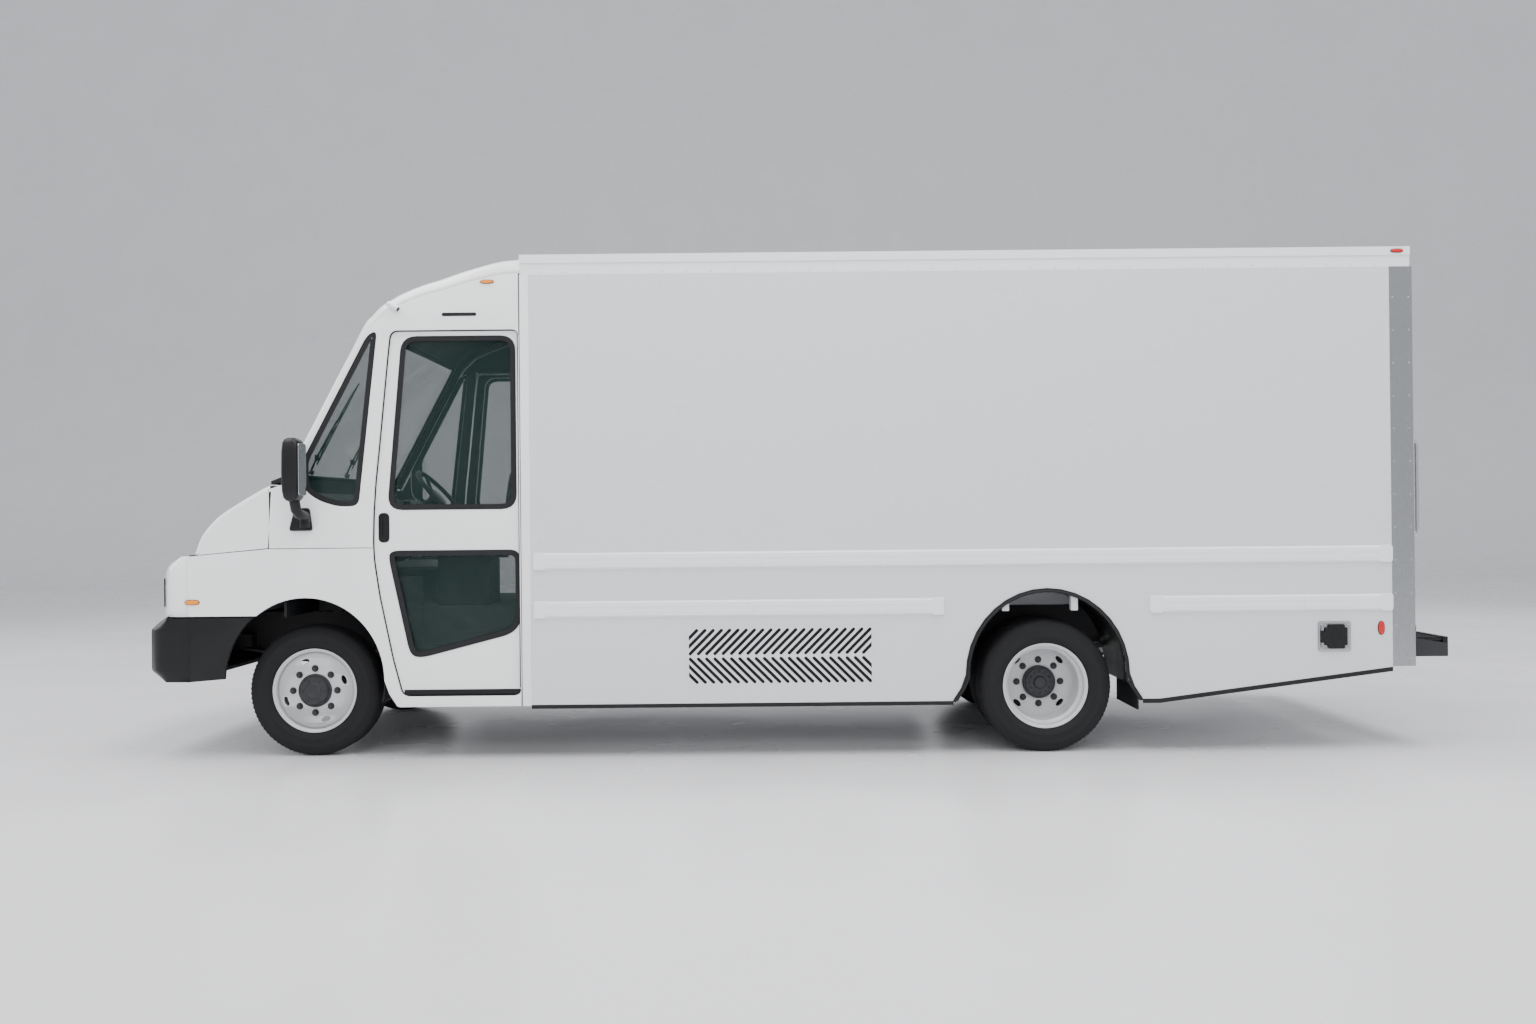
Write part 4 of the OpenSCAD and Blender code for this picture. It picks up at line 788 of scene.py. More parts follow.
def build_fascia():
    """Front panel between the fenders with its ledge, grille and headlamps."""
    path = nose_path(-1.0, 0.012, -0.708)
    levels = [(0.883, 0), (0.943, 0), (1.0, 0), (1.06, 0), (1.11, 0.001), (1.15, 0.007), (1.18, 0.018),
              (1.205, 0.036), (1.226, 0.062), (1.241, 0.097), (1.249, 0.14)]
    rows = []
    for z, inset in levels:
        row = []
        for i, (plain, moved) in enumerate(zip(path, drawn_in(path, inset))):
            share = min(1, min(i, len(path) - 1 - i) / 4)
            row.append((plain[0] * (1 - share) + moved[0] * share,
                        plain[1] * (1 - share) + moved[1] * share, z))
        rows.append(row)
    ledge_x = AXLE_F - 0.60
    rows.append([(max(x, ledge_x) if abs(y) > 1.16 else ledge_x, y, 1.2495) for x, y, z in rows[-1]])

    def opening(i, j):
        y = (path[j][1] + path[j + 1][1]) / 2
        grille = abs(y) < 0.56 and 1 <= i < 5
        lamp = 0.72 < abs(y) < 1.13 and 1 <= i < 4
        return grille or lamp

    Shape().grid(rows, lambda i, j: not opening(i, j)).piece(
        "nose_skin", WHITE, "truck", "white_paint", ("nose_panels",), soft=0, angle=45, thick=0.006)
    dark = Shape()
    back = [[(x + 0.03, y, z) for x, y in path] for z in (0.93, 1.165)]
    dark.grid(back, lambda i, j: abs(path[j][1] + path[j + 1][1]) / 2 < 1.13)
    dark.piece("nose_backing", BLACK, "truck", "black_plastic", soft=0, thick=0.003)
    slats = Shape()
    for z in (0.957, 0.998, 1.039, 1.080, 1.121):
        part = [p for p in drawn_in(path, 0.004) if abs(p[1]) < 0.57]
        slats.loft([[(x, y, z), (x + 0.022, y, z + 0.006), (x + 0.022, y, z + 0.018), (x, y, z + 0.016)]
                    for x, y in part])
    for y in (-0.28, 0, 0.28):
        x = AXLE_F - 1.0 + 0.15 * (abs(y) / HALF_W) ** 4
        slats.box((x + 0.006, y - 0.007, 0.945), (x + 0.024, y + 0.007, 1.149))
    slats.piece("grille_slats", BLACK, "truck", "black_plastic", soft=0.002)
    build_headlamps(path)


def build_headlamps(path):
    """Clear lens, silver bowls, an amber section and a black bezel on each side."""
    for name, side in SIDES:
        part = [p for p in path if -1.131 < p[1] < -0.719]
        lens = Shape().grid([[(x - 0.002, y, z) for x, y in part] for z in (0.943, 1.0, 1.06, 1.11)])
        lens.piece(f"headlamp_lens_{name}", LAMP_GLASS, "truck", "lamp_clear",
                   ("headlamps",) if side < 0 else (), side, soft=0, thick=0.004, angle=60)
        bezel = Shape()
        rim = [(part[0][0], part[0][1], 0.943), (part[-1][0], part[-1][1], 0.943),
               (part[-1][0], part[-1][1], 1.11), (part[0][0], part[0][1], 1.11)]
        for a, b in zip(rim, rim[1:] + rim[:1]):
            bezel.tube([a, b], 0.006, 8)
        bezel.piece(f"headlamp_bezel_{name}", BLACK, "truck", "black_plastic", side=side, soft=0)
        bowls = Shape()
        for y in (-0.80, -0.94):
            x = AXLE_F - 1.0 + 0.15 * (abs(y) / HALF_W) ** 4
            bowls.turn([(0.002, 0.026), (0.03, 0.022), (0.052, 0.008), (0.062, 0.002), (0.066, 0.002),
                        (0.066, 0.006), (0.03, 0.028), (0.002, 0.029)], (x, y, 1.027), (1, 0, 0), 40)
            bowls.turn([(0.0, 0.006), (0.008, 0.008), (0.012, 0.02), (0.012, 0.026), (0, 0.026)],
                       (x, y, 1.027), (1, 0, 0), 20)
        bowls.piece(f"headlamp_bowls_{name}", STEEL, "truck", "inlet_silver", side=side, soft=0)
        x = AXLE_F - 1.0 + 0.15 * (1.07 / HALF_W) ** 4
        turn = Shape().panel(rounded(rectangle(x + 0.008, x + 0.018, 0.953, 0.99), 0.004), [], -1.10, -1.02)
        turn.piece(f"turn_lamp_{name}", AMBER, "truck", "lamp_amber", side=side)


def build_bumper():
    """One moulding: chamfered above and below, wrapped round the corners to the wheel arches."""
    path = nose_path(-1.085, 0.012, -0.70)
    section = [(0.115, 0.484), (0.078, 0.484), (0.04, 0.512), (0.010, 0.540), (0.003, 0.549),
               (0.0, 0.562), (0.0, 0.79),
               (0.003, 0.803), (0.010, 0.811), (0.04, 0.838), (0.078, 0.868), (0.09, 0.873), (0.115, 0.874)]
    rows = []
    ends = len(path) - 1
    for depth, z in section:
        line = drawn_in(path, depth)
        row = []
        for i, (x, y) in enumerate(line):
            near_end = min(i, ends - i)
            keep = min(1.0, near_end / 7)
            row.append((x if near_end else path[i][0], y if near_end > 7 else
                        path[i][1] * (1 - keep) + y * keep, z))
        rows.append(row)
    Shape().grid(rows).piece("bumper_skin", BUMPER, "truck", "black_plastic", ("front_bumper",),
                             soft=0, angle=24, thick=0.006)
    ends_shape = Shape()
    curve = [(AXLE_F - 0.477 * math.cos(a), 0.483 + 0.508 * math.sin(a))
             for a in [math.radians(d) for d in range(2, 52, 7)]]
    curve = [(x - 0.012, z) for x, z in curve]
    outline = [(AXLE_F - 0.705, 0.484), *curve, (AXLE_F - 0.325, 0.874), (AXLE_F - 0.705, 0.874)]
    ends_shape.panel(outline, [], -HALF_W, -HALF_W + SKIN, 0.004).both()
    ends_shape.piece("bumper_ends", BUMPER, "truck", "black_plastic", soft=0)
    lower = Shape()
    lower.plate([(AXLE_F - 0.97, 0.50), (AXLE_F - 0.6, 0.52), (AXLE_F - 0.6, 0.545), (AXLE_F - 0.97, 0.53)],
                -0.95, 0.95)
    lower.piece("bumper_valance", BLACK, "truck", "black_plastic", soft=0.003)


# ---------------------------------------------------------------- wheels and tyres

BARREL = [(0.261, 0.0925), (0.261, 0.084), (0.2495, 0.081), (0.246, 0.04), (0.229, 0.025),
          (0.229, -0.025), (0.246, -0.04), (0.2495, -0.081), (0.261, -0.084), (0.261, -0.0925),
          (0.255, -0.0935), (0.242, -0.083), (0.238, -0.042), (0.221, -0.027), (0.221, 0.027),
          (0.238, 0.042), (0.242, 0.083), (0.255, 0.0935)]


def ring_points(x, z, radius, steps=48, stretch=1.0, turned=0.0):
    """An ellipse; stretch lengthens it along the direction turned, in degrees."""
    out = []
    for i in range(steps):
        a = 2 * math.pi * i / steps
        u, v = radius * stretch * math.cos(a), radius * math.sin(a)
        t = math.radians(turned)
        out.append((x + u * math.cos(t) - v * math.sin(t), z + u * math.sin(t) + v * math.cos(t)))
    return out


def tyre_profile(step):
    """Round shouldered section; every second step is a notch in the shoulder blocks."""
    notch = 0.005 if step % 2 else 0
    outer = [(0.2505, 0.0795), (0.2625, 0.0835), (0.268, 0.094), (0.28, 0.1045), (0.296, 0.1095),
             (0.299, 0.1115), (0.304, 0.1115), (0.307, 0.1105), (0.325, 0.1125), (0.343, 0.1115),
             (0.347, 0.1125), (0.351, 0.111), (0.37, 0.106 - notch / 3), (0.388, 0.0975 - notch),
             (0.3965 - notch, 0.089), (0.4025 - notch, 0.079), (0.404, 0.064),
             (0.4045, 0.0605), (0.391, 0.0585), (0.391, 0.0515), (0.4048, 0.0495), (0.405, 0.026),
             (0.405, 0.0235), (0.391, 0.022), (0.391, 0.014), (0.405, 0.0125)]
    return outer + [(r, -w) for r, w in reversed(outer)]


def add_tyre(shape, x, y):
    """A full tyre round an axle line at x, with its middle at y."""
    shape.turn(tyre_profile, (x, y, TYRE_R), (0, -1, 0), 168)


HUB_HOLE_R, HAND_HOLE_R, HAND_HOLE_STRETCH = 0.098, 0.0155, 1.9
HAND_HOLE_AT, DISC_R = 0.190, 0.219


def disc_plate(shape, x, face, thickness, turned):
    """Flat disc with a hub hole and four hand holes, from its outer face y."""
    holes = [ring_points(x, TYRE_R, HUB_HOLE_R)]
    for a in range(0, 360, 90):
        t = math.radians(a + turned)
        holes.append(ring_points(x + HAND_HOLE_AT * math.cos(t), TYRE_R + HAND_HOLE_AT * math.sin(t),
                                 HAND_HOLE_R, 28, HAND_HOLE_STRETCH, a + turned + 90))
    shape.panel(ring_points(x, TYRE_R, DISC_R, 96), holes, face, face + thickness, 0.0025)


def wheel_disc(shape, x, face, reach, turned):
    """Front disc and the cone that meets the barrel."""
    disc_plate(shape, x, face, 0.01, turned)
    shape.turn([(0.2165, 0), (0.2165, -0.008), (0.236, reach - 0.008), (0.243, reach)],
               (x, face, TYRE_R), (0, -1, 0), 96)


def add_nuts(shape, x, face, count=8, radius=0.1375, size=0.0165, height=0.024, turned=0):
    """A circle of hexagon nuts with washers and rounded caps."""
    for k in range(count):
        t = math.radians(360 * k / count + turned)
        px, pz = x + radius * math.cos(t), TYRE_R + radius * math.sin(t)
        shape.turn([(0, 0), (size * 1.32, 0), (size * 1.25, 0.004), (0, 0.004)],
                   (px, face, pz), (0, -1, 0), 20)
        shape.bar((px, face, pz), (px, face - height * 0.72, pz), size, 6)
        shape.turn([(0, height * 0.7), (size * 0.8, height * 0.7), (size * 0.68, height * 0.9),
                    (size * 0.3, height), (0, height)], (px, face, pz), (0, -1, 0), 16)


def build_front_wheel(name, side):
    body, y = f"wheel_front_{name}", middle("front_tyre_left").y
    tyre = Shape()
    add_tyre(tyre, AXLE_F, y)
    tyre.piece(f"front_tyre_skin_{name}", TYRE_RUBBER, body, "tyre", (f"front_tyre_{name}",), side,
               soft=0, angle=28)
    rim = Shape().turn(BARREL, (AXLE_F, y, TYRE_R), (0, -1, 0), 96)
    face = y - 0.0795
    wheel_disc(rim, AXLE_F, face, -0.03, 20)
    rim.turn([(0.001, 0.04), (0.0215, 0.04), (0.0215, 0.0455), (0.001, 0.0455)],
             (AXLE_F + 0.2, y, TYRE_R), (0, -1, 0), 8)
    rim.piece(f"front_rim_{name}", RIM_PAINT, body, "rim_silver", (f"front_wheel_{name}",), side,
              soft=0.0012, angle=28)
    hub = Shape().turn([(0.0, -0.03), (0.104, -0.03), (0.104, 0.004), (0.101, 0.009), (0.094, 0.012),
                        (0.088, 0.026), (0.082, 0.031), (0.056, 0.033), (0.05, 0.035), (0.046, 0.039),
                        (0.03, 0.040), (0.026, 0.037), (0.0, 0.037)], (AXLE_F, face, TYRE_R),
                        (0, -1, 0), 72)
    add_nuts(hub, AXLE_F, face)
    add_nuts(hub, AXLE_F, face - 0.031, 6, 0.07, 0.006, 0.007, 0)
    hub.turn([(0.10, -0.1), (0.175, -0.1), (0.178, -0.02), (0.172, -0.014), (0.10, -0.014)],
             (AXLE_F, face, TYRE_R), (0, -1, 0), 72)
    hub.piece(f"front_hub_{name}", DARK_IRON, body, "axle_iron", side=side, soft=0.0008)


def build_rear_wheel(name, side):
    body = f"wheel_rear_{name}"
    outer, inner = low("rear_tyres_left").y + 0.113, high("rear_tyres_left").y - 0.113
    tyres = Shape()
    add_tyre(tyres, AXLE_R, outer)
    add_tyre(tyres, AXLE_R, inner)
    tyres.piece(f"rear_tyre_skins_{name}", TYRE_RUBBER, body, "tyre", (f"rear_tyres_{name}",), side,
                soft=0, angle=28)
    face = (outer + inner) / 2 - 0.012
    rims = Shape()
    for y, sign in ((outer, 1), (inner, -1)):
        rims.turn(BARREL, (AXLE_R, y, TYRE_R), (0, -1, 0), 96)
        rims.turn([(0.2165, 0), (0.2165, -0.009), (0.2265, 0.03), (0.236, 0.055), (0.243, 0.055),
                   (0.232, 0.028)], (AXLE_R, face if sign > 0 else face + 0.024, TYRE_R), (0, -sign, 0), 96)
    disc_plate(rims, AXLE_R, face, 0.0235, 45)
    rims.piece(f"rear_rims_{name}", RIM_PAINT, body, "rim_silver", (f"rear_wheels_{name}",), side,
               soft=0.0012, angle=28)
    hub = Shape().turn([(0, -0.1), (0.102, -0.1), (0.102, 0.03), (0.098, 0.036), (0.09, 0.038),
                        (0.0885, 0.05), (0.085, 0.052), (0.042, 0.052), (0.0375, 0.056), (0.036, 0.066),
                        (0.03, 0.069), (0, 0.069)], (AXLE_R, face, TYRE_R), (0, -1, 0), 72)
    add_nuts(hub, AXLE_R, face)
    add_nuts(hub, AXLE_R, face - 0.052, 12, 0.068, 0.0065, 0.009, 0)
    hub.turn([(0.10, -0.19), (0.2, -0.19), (0.203, -0.06), (0.196, -0.052), (0.10, -0.05)],
             (AXLE_R, face, TYRE_R), (0, -1, 0), 72)
    hub.piece(f"rear_hub_{name}", DARK_IRON, body, "axle_iron", side=side, soft=0.0008)


# ---------------------------------------------------------------- cargo body details

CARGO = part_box("cargo_side_left")
POST_X0, POST_X1 = CARGO[1].x, CARGO[1].x + 0.14
TAIL_SILL = SILL + 0.18


def add_rivets(shape, spots, out=(0, -1, 0), size=0.0055, height=0.0025):
    """Round rivet heads standing out from each spot."""
    for spot in spots:
        shape.turn([(0, 0), (size, 0), (size * 0.86, height * 0.6), (size * 0.45, height), (0, height)],
                   spot, out, 12)


def build_cargo_trim(name, side):
    """Front trim strip, rail caps and ribs, rivet rows, corner post hardware, sill trim, and the rear arch
    bead and liner of one side.
    """
    face = -HALF_W
    strip = Shape().panel(rectangle(CAB_END + 0.002, CAB_END + 0.055, SILL, 2.948), [], face - 0.003, face,
                          0.001)
    add_rivets(strip, [(CAB_END + 0.0285, face - 0.003, SILL + 0.08 + 0.2 * k) for k in range(13)])
    strip.piece(f"front_strip_{name}", RAIL_WHITE, "truck", "rail_white", side=side, soft=0)
    rivets = Shape()
    add_rivets(rivets, [(POST_X0 + dx, face, 0.56 + 0.2 * k) for k in range(12) for dx in (0.022, 0.118)])
    rivets.piece(f"post_rivets_{name}", STEEL, "truck", "latch_steel", side=side, soft=0)
    beads = Shape()
    add_rivets(beads, [(CAB_END + 0.12 + 0.15 * k, face + 0.008, 2.962) for k in range(35)])
    add_rivets(beads, [(POST_X0 - 0.012, face, TAIL_SILL + 0.08 + 0.1 * k) for k in range(23)])
    # The rivet beads take the darkened white that paints shade on the cargo side.
    beads.piece(f"panel_rivets_{name}", SHADED_SIDE_WHITE, "truck", "body_side", side=side, soft=0)
    caps = Shape()
    rub = face - 0.014
    for z0, z1, spots in ((1.147, 1.253, (CAB_END + 0.075, POST_X0 - 0.075)),
                          (0.852, 0.958, (CAB_END + 0.075, AXLE_R - 0.70, AXLE_R + 0.63, POST_X0 - 0.075))):
        for x in spots:
            caps.panel(rounded(rectangle(x, x + 0.072, z0, z1), 0.012), [], rub - 0.002, face, 0.003)
    sill_trim = Shape().plate(rectangle(CAB_END + 0.055, AXLE_R - 0.575, SILL - 0.018, SILL + 0.006),
                              face - 0.0025, face + 0.012)
    sill_trim.plate([(AXLE_R + 0.58, SILL - 0.018), (AXLE_R + 0.681, SILL - 0.018),
                     (POST_X0, TAIL_SILL - 0.018),
                     (POST_X0, TAIL_SILL + 0.009), (AXLE_R + 0.681, SILL + 0.009),
                     (AXLE_R + 0.58, SILL + 0.009)],
                    face - 0.0025, face + 0.012)
    sill_trim.piece(f"sill_trim_{name}", SEAL, "truck", "black_rubber", side=side, soft=0.0015)
    caps.piece(f"rub_rail_caps_{name}", RAIL_WHITE, "truck", "rail_white", side=side, soft=0)
    groove = Shape()
    for z, x0, x1 in ((1.20, CAB_END + 0.15, POST_X0 - 0.08), (0.905, CAB_END + 0.15, AXLE_R - 0.705),
                      (0.905, AXLE_R + 0.705, POST_X0 - 0.08)):
        for dz in (-0.018, 0.018):
            groove.box((x0, rub - 0.0015, z + dz - 0.005), (x1, rub + 0.001, z + dz + 0.005))
    groove.piece(f"rub_rail_ribs_{name}", RAIL_WHITE, "truck", "rail_white", side=side, soft=0.001)
    flare = Shape()
    path = [(AXLE_R + 0.482 * math.cos(a), face - 0.008, 0.483 + 0.508 * math.sin(a))
            for a in [math.radians(d) for d in range(-4, 185, 6)]]
    path = [(AXLE_R + 0.56, face - 0.008, 0.326), (AXLE_R + 0.512, face - 0.008, 0.40), *path,
            (AXLE_R - 0.512, face - 0.008, 0.40), (AXLE_R - 0.56, face - 0.008, 0.326)]
    flare.tube(path, 0.008, 10)
    flare.piece(f"arch_bead_{name}", SEAL, "truck", "black_rubber", side=side, soft=0)
    well = Shape()
    turns = [math.radians(a) for a in range(-6, 187, 6)]
    rows = [[(AXLE_R + (0.484 + d) * math.cos(a), y, 0.483 + (0.510 + d) * math.sin(a)) for a in turns]
            for y, d in ((-1.195, 0), (-1.15, 0.002), (-0.66, 0.002))]
    well.grid(rows).piece(f"rear_arch_liner_{name}", BLACK, "truck", "black_plastic", side=side, soft=0,
                          angle=60, thick=-0.003)


def lamp_unit(shape, base, x, z, width, height, face):
    """A lens on a rubber base, flat against the side."""
    outline = rounded(rectangle(x - width / 2, x + width / 2, z - height / 2, z + height / 2),
                      max(width, height) * 0.48, 9)
    base.panel(outline, [], face - 0.003, face + 0.0005, 0.001)
    shape.panel(grown(outline, -0.0035), [], face - 0.0085, face - 0.002, 0.0028)


def build_lamps(name, side):
    """Amber front markers, red rear markers and round tail lamps."""
    face = -HALF_W
    base, amber, red = Shape(), Shape(), Shape()
    lamp_unit(amber, base, AXLE_F - 0.684, 0.970, 0.092, 0.034, face)
    lamp_unit(amber, base, AXLE_F + 1.128, 2.9075, 0.086, 0.026, face)
    lamp_unit(red, base, POST_X0 - 0.069, 0.747, 0.043, 0.085, face)
    lamp_unit(red, base, POST_X0 + 0.05, ROOF - 0.026, 0.08, 0.026, face)
    for z in (0.64, 0.74):
        centre = (POST_X1, face + 0.05, z)
        base.turn([(0.036, 0), (0.044, 0), (0.044, 0.006), (0.040, 0.009), (0.036, 0.009)], centre,
                  (1, 0, 0), 40)
        red.turn([(0, 0), (0.0365, 0), (0.0365, 0.008), (0.032, 0.0115), (0, 0.0118)], centre,
                 (1, 0, 0), 40)
    base.piece(f"lamp_bases_{name}", SEAL, "truck", "black_rubber", side=side, soft=0)
    amber.piece(f"amber_lamps_{name}", AMBER, "truck", "lamp_amber", ("marker_lamps",) if side < 0 else (),
                side, soft=0)
    red.piece(f"red_lamps_{name}", RED, "truck", "lamp_amber", side=side, soft=0)


def build_cab_fittings(name, side):
    """Small camera and the long slot above the door."""
    face = -HALF_W
    slot = Shape().panel(rounded(rectangle(AXLE_F + 0.851, AXLE_F + 1.061, 2.7, 2.721), 0.0102, 7), [],
                         face - 0.003, face + 0.001, 0.001)
    slot.piece(f"door_slot_{name}", SEAL, "truck", "black_rubber", side=side, soft=0)
    x, z = AXLE_F + 0.562, 2.756
    housing = Shape().turn([(0, 0), (0.027, 0), (0.027, 0.004), (0.022, 0.008), (0, 0.008)],
                           (x, face, z), (0, -1, 0), 32)
    housing.bar((x - 0.004, face - 0.006, z + 0.006), (x - 0.004, face - 0.03, z + 0.006), 0.008)
    housing.bar((x - 0.034, face - 0.028, z + 0.022), (x + 0.028, face - 0.028, z - 0.014), 0.0165, 28)
    housing.piece(f"camera_body_{name}", RAIL_WHITE, "truck", "rail_white", side=side, soft=0.002)
    lens = Shape().bar((x + 0.0275, face - 0.028, z - 0.0137), (x + 0.035, face - 0.028, z - 0.018),
                       0.0135, 28)
    lens.piece(f"camera_lens_{name}", BLACK, "truck", "black_plastic", side=side, soft=0.002)


def build_mirror(name, side):
    """Rounded mirror head with its glass, neck and flared foot."""
    body = f"mirror_{name}"
    x, y = AXLE_F + 0.023, -HALF_W - 0.052
    head = Shape()
    rows = []
    for z, w, d in ((1.577, 0.040, 0.020), (1.584, 0.058, 0.034), (1.60, 0.070, 0.045),
                    (1.64, 0.076, 0.052),
                    (1.75, 0.079, 0.055), (1.87, 0.078, 0.054), (1.925, 0.073, 0.049),
                    (1.945, 0.062, 0.038),
                    (1.955, 0.044, 0.022)):
        ring = []
        for k in range(36):
            a = 2 * math.pi * k / 36
            c, s = math.cos(a), math.sin(a)
            ring.append((AXLE_F - 0.001 + d * math.copysign(abs(c) ** 0.5, c),
                         -HALF_W - 0.17 + w * math.copysign(abs(s) ** 0.5, s), z))
        rows.append(ring)
    head.loft(rows)
    head.loft([[(x + 0.014 * math.cos(t), y + 0.014 * math.sin(t), 1.4515) for t in
                [2 * math.pi * k / 24 for k in range(24)]],
               [(x + 0.014 * math.cos(t), y + 0.014 * math.sin(t), 1.452) for t in
                [2 * math.pi * k / 24 for k in range(24)]]])
    head.turn([(0.0142, 0), (0.03, 0), (0.03, 0.02), (0.024, 0.045), (0.02, 0.06), (0.0142, 0.06)],
              (x, y, 1.4515), (0, 0, 1), 36)
    head.tube([(x, y, 1.485), (x - 0.002, y - 0.03, 1.492), (x - 0.008, y - 0.075, 1.502),
               (x - 0.016, y - 0.10, 1.530), (x - 0.020, y - 0.11, 1.575), (x - 0.022, y - 0.112, 1.60)],
              0.031, 24)
    head.piece(f"mirror_shell_{name}", BLACK, body, "black_plastic", (f"mirror_{name}",), side, soft=0.0012,
               angle=50)
    rim = [(-HALF_W - 0.235, 1.612), (-HALF_W - 0.105, 1.612), (-HALF_W - 0.105, 1.922),
           (-HALF_W - 0.235, 1.922)]
    glass_face = Shape().across(rounded(rim, 0.024), AXLE_F + 0.0515, AXLE_F + 0.0545)
    glass_face.piece(f"mirror_glass_{name}", MIRROR, body, "latch_steel", side=side, soft=0.0008)


def build_wiper(name, y):
    """Arm with its spring bridge and a long blade in a channel."""
    body = f"wiper_{name}"
    base = Vector(SCREEN_LINE[0])
    top = Vector(SCREEN_LINE[-1])
    along = (top - base).normalized()
    outward = Vector((-along.y, along.x))

    def at(up, out, across=0.0):
        p = base + along * (0.045 + up) + outward * out
        return (p.x, y + across, p.y)

    arm = Shape().turn([(0, 0.0005), (0.016, 0.0005), (0.016, 0.02), (0.012, 0.027), (0, 0.028)],
                       at(0, 0), (outward.x, 0, outward.y), 32)
    arm.tube([at(0, 0.02), at(0.05, 0.024), at(0.16, 0.026), at(0.30, 0.024), at(0.372, 0.018)], 0.0065, 10)
    arm.box(tuple(a - b for a, b in zip(at(0.10, 0.024), (0.012, 0.009, 0.02))),
            tuple(a + b for a, b in zip(at(0.10, 0.024), (0.012, 0.009, 0.02))))
    for a, b in ((0.10, 0.34), (0.38, 0.62)):
        arm.tube([at(a, 0.008), at((a + b) / 2 - 0.05, 0.015), at((a + b) / 2 + 0.05, 0.015), at(b, 0.008)],
                 0.004, 8)
    arm.tube([at(0.2, 0.015), at(0.36, 0.0175), at(0.5, 0.015)], 0.005, 8)
    arm.piece(f"wiper_arm_{name}", BLACK, body, "black_plastic", (f"wiper_{name}",), soft=0)
    blade = Shape().tube([at(0.06, 0.005), at(0.3, 0.0045), at(0.655, 0.005)], 0.0045, 8)
    blade.piece(f"wiper_blade_{name}", SEAL, body, "black_rubber", soft=0)


# ---------------------------------------------------------------- inside of the cab


def build_liners():
    """Dark trim on the inside of the windshield frame, the roof and the cab sides."""
    columns = len(CAB_ROWS[0]) - 1
    inner_rows = [[(x + 0.011, y * 0.991, z - 0.009) for x, y, z in row] for row in CAB_ROWS]
    Shape().grid(inner_rows, lambda i, j: i >= SCREEN_ROWS or j < 8 or j >= columns - 8).piece(
        "cab_liner", DASH, "truck", "dash_plastic", soft=0, angle=60, thick=0.003)
    edge = [(x + 0.016, z - 0.004) for x, z in side_points(CAB_ROWS, 0, len(CAB_ROWS))]
    door_front = [(x - 0.014, z) for x, z in from_axle(
        [(534, 2628), (516, 2464), (462, 1929), (435, 1679), (423, 1499), (418, 1320)])]
    outer = [*edge, (CAB_END - 0.012, edge[-1][1]), (CAB_END - 0.012, 2.64), *door_front,
             (AXLE_F - 0.13, 1.32), (AXLE_F - 0.13, edge[0][1])]
    liner = Shape().panel(outer, [grown(QUARTER, 0.002)], -HALF_W + SKIN, -HALF_W + SKIN + 0.004,
                          0.001).both()
    liner.piece("cab_side_liners", DASH, "truck", "dash_plastic", soft=0)
    for name, side in SIDES:
        card = Shape().panel(grown(DOOR, -0.014), [grown(UPPER_WINDOW, 0.003), grown(LOWER_WINDOW, 0.003)],
                             -1.156, -1.1525, 0.0008)
        card.piece(f"door_card_{name}", DASH, f"door_{name}", "dash_plastic", side=side, soft=0)


def build_steering_wheel():
    """Padded rim, three spokes and a horn pad."""
    tilt = math.radians(48)
    axis = Vector((math.sin(tilt), 0, math.cos(tilt)))
    centre = Vector((AXLE_F + 0.643, -0.45, 1.62))
    side = Vector((0, 1, 0))
    other = axis.cross(side)
    wheel = Shape()
    ring = [(0.21 + 0.0148 * math.cos(t), 0.0148 * math.sin(t)) for t in
            [2 * math.pi * k / 16 for k in range(16)]]
    wheel.turn(ring, centre, axis, 72)
    for a in (90, 210, 330):
        t = math.radians(a + 90)
        ray = math.cos(t) * side + math.sin(t) * other
        wheel.tube([centre + ray * r + axis * z for r, z in
                    ((0.04, -0.036), (0.09, -0.032), (0.15, -0.018), (0.206, -0.003))], 0.0125, 10)
    wheel.turn([(0, -0.068), (0.046, -0.068), (0.05, -0.055), (0.07, -0.034), (0.076, -0.022),
                (0.07, -0.012),
                (0.045, -0.006), (0, -0.004)], centre, axis, 48)
    wheel.piece("steering_wheel_skin", BLACK, "steering_wheel", "black_plastic",
                ("steering_wheel",), soft=0.001,
                angle=45)
    stalks = Shape()
    hub = centre - axis * 0.13
    stalks.tube([hub, hub + Vector((0.02, -0.10, 0.03)), hub + Vector((0.03, -0.19, 0.05))], 0.007, 10)
    stalks.tube([hub, hub + Vector((0.02, 0.10, 0.03)), hub + Vector((0.03, 0.18, 0.05))], 0.007, 10)
    stalks.turn([(0.0, -0.055), (0.05, -0.055), (0.058, -0.04), (0.058, 0.02), (0.05, 0.035), (0, 0.035)],
                hub, axis, 32)
    stalks.piece("column_shroud", DASH, "truck", "dash_plastic", soft=0.002)


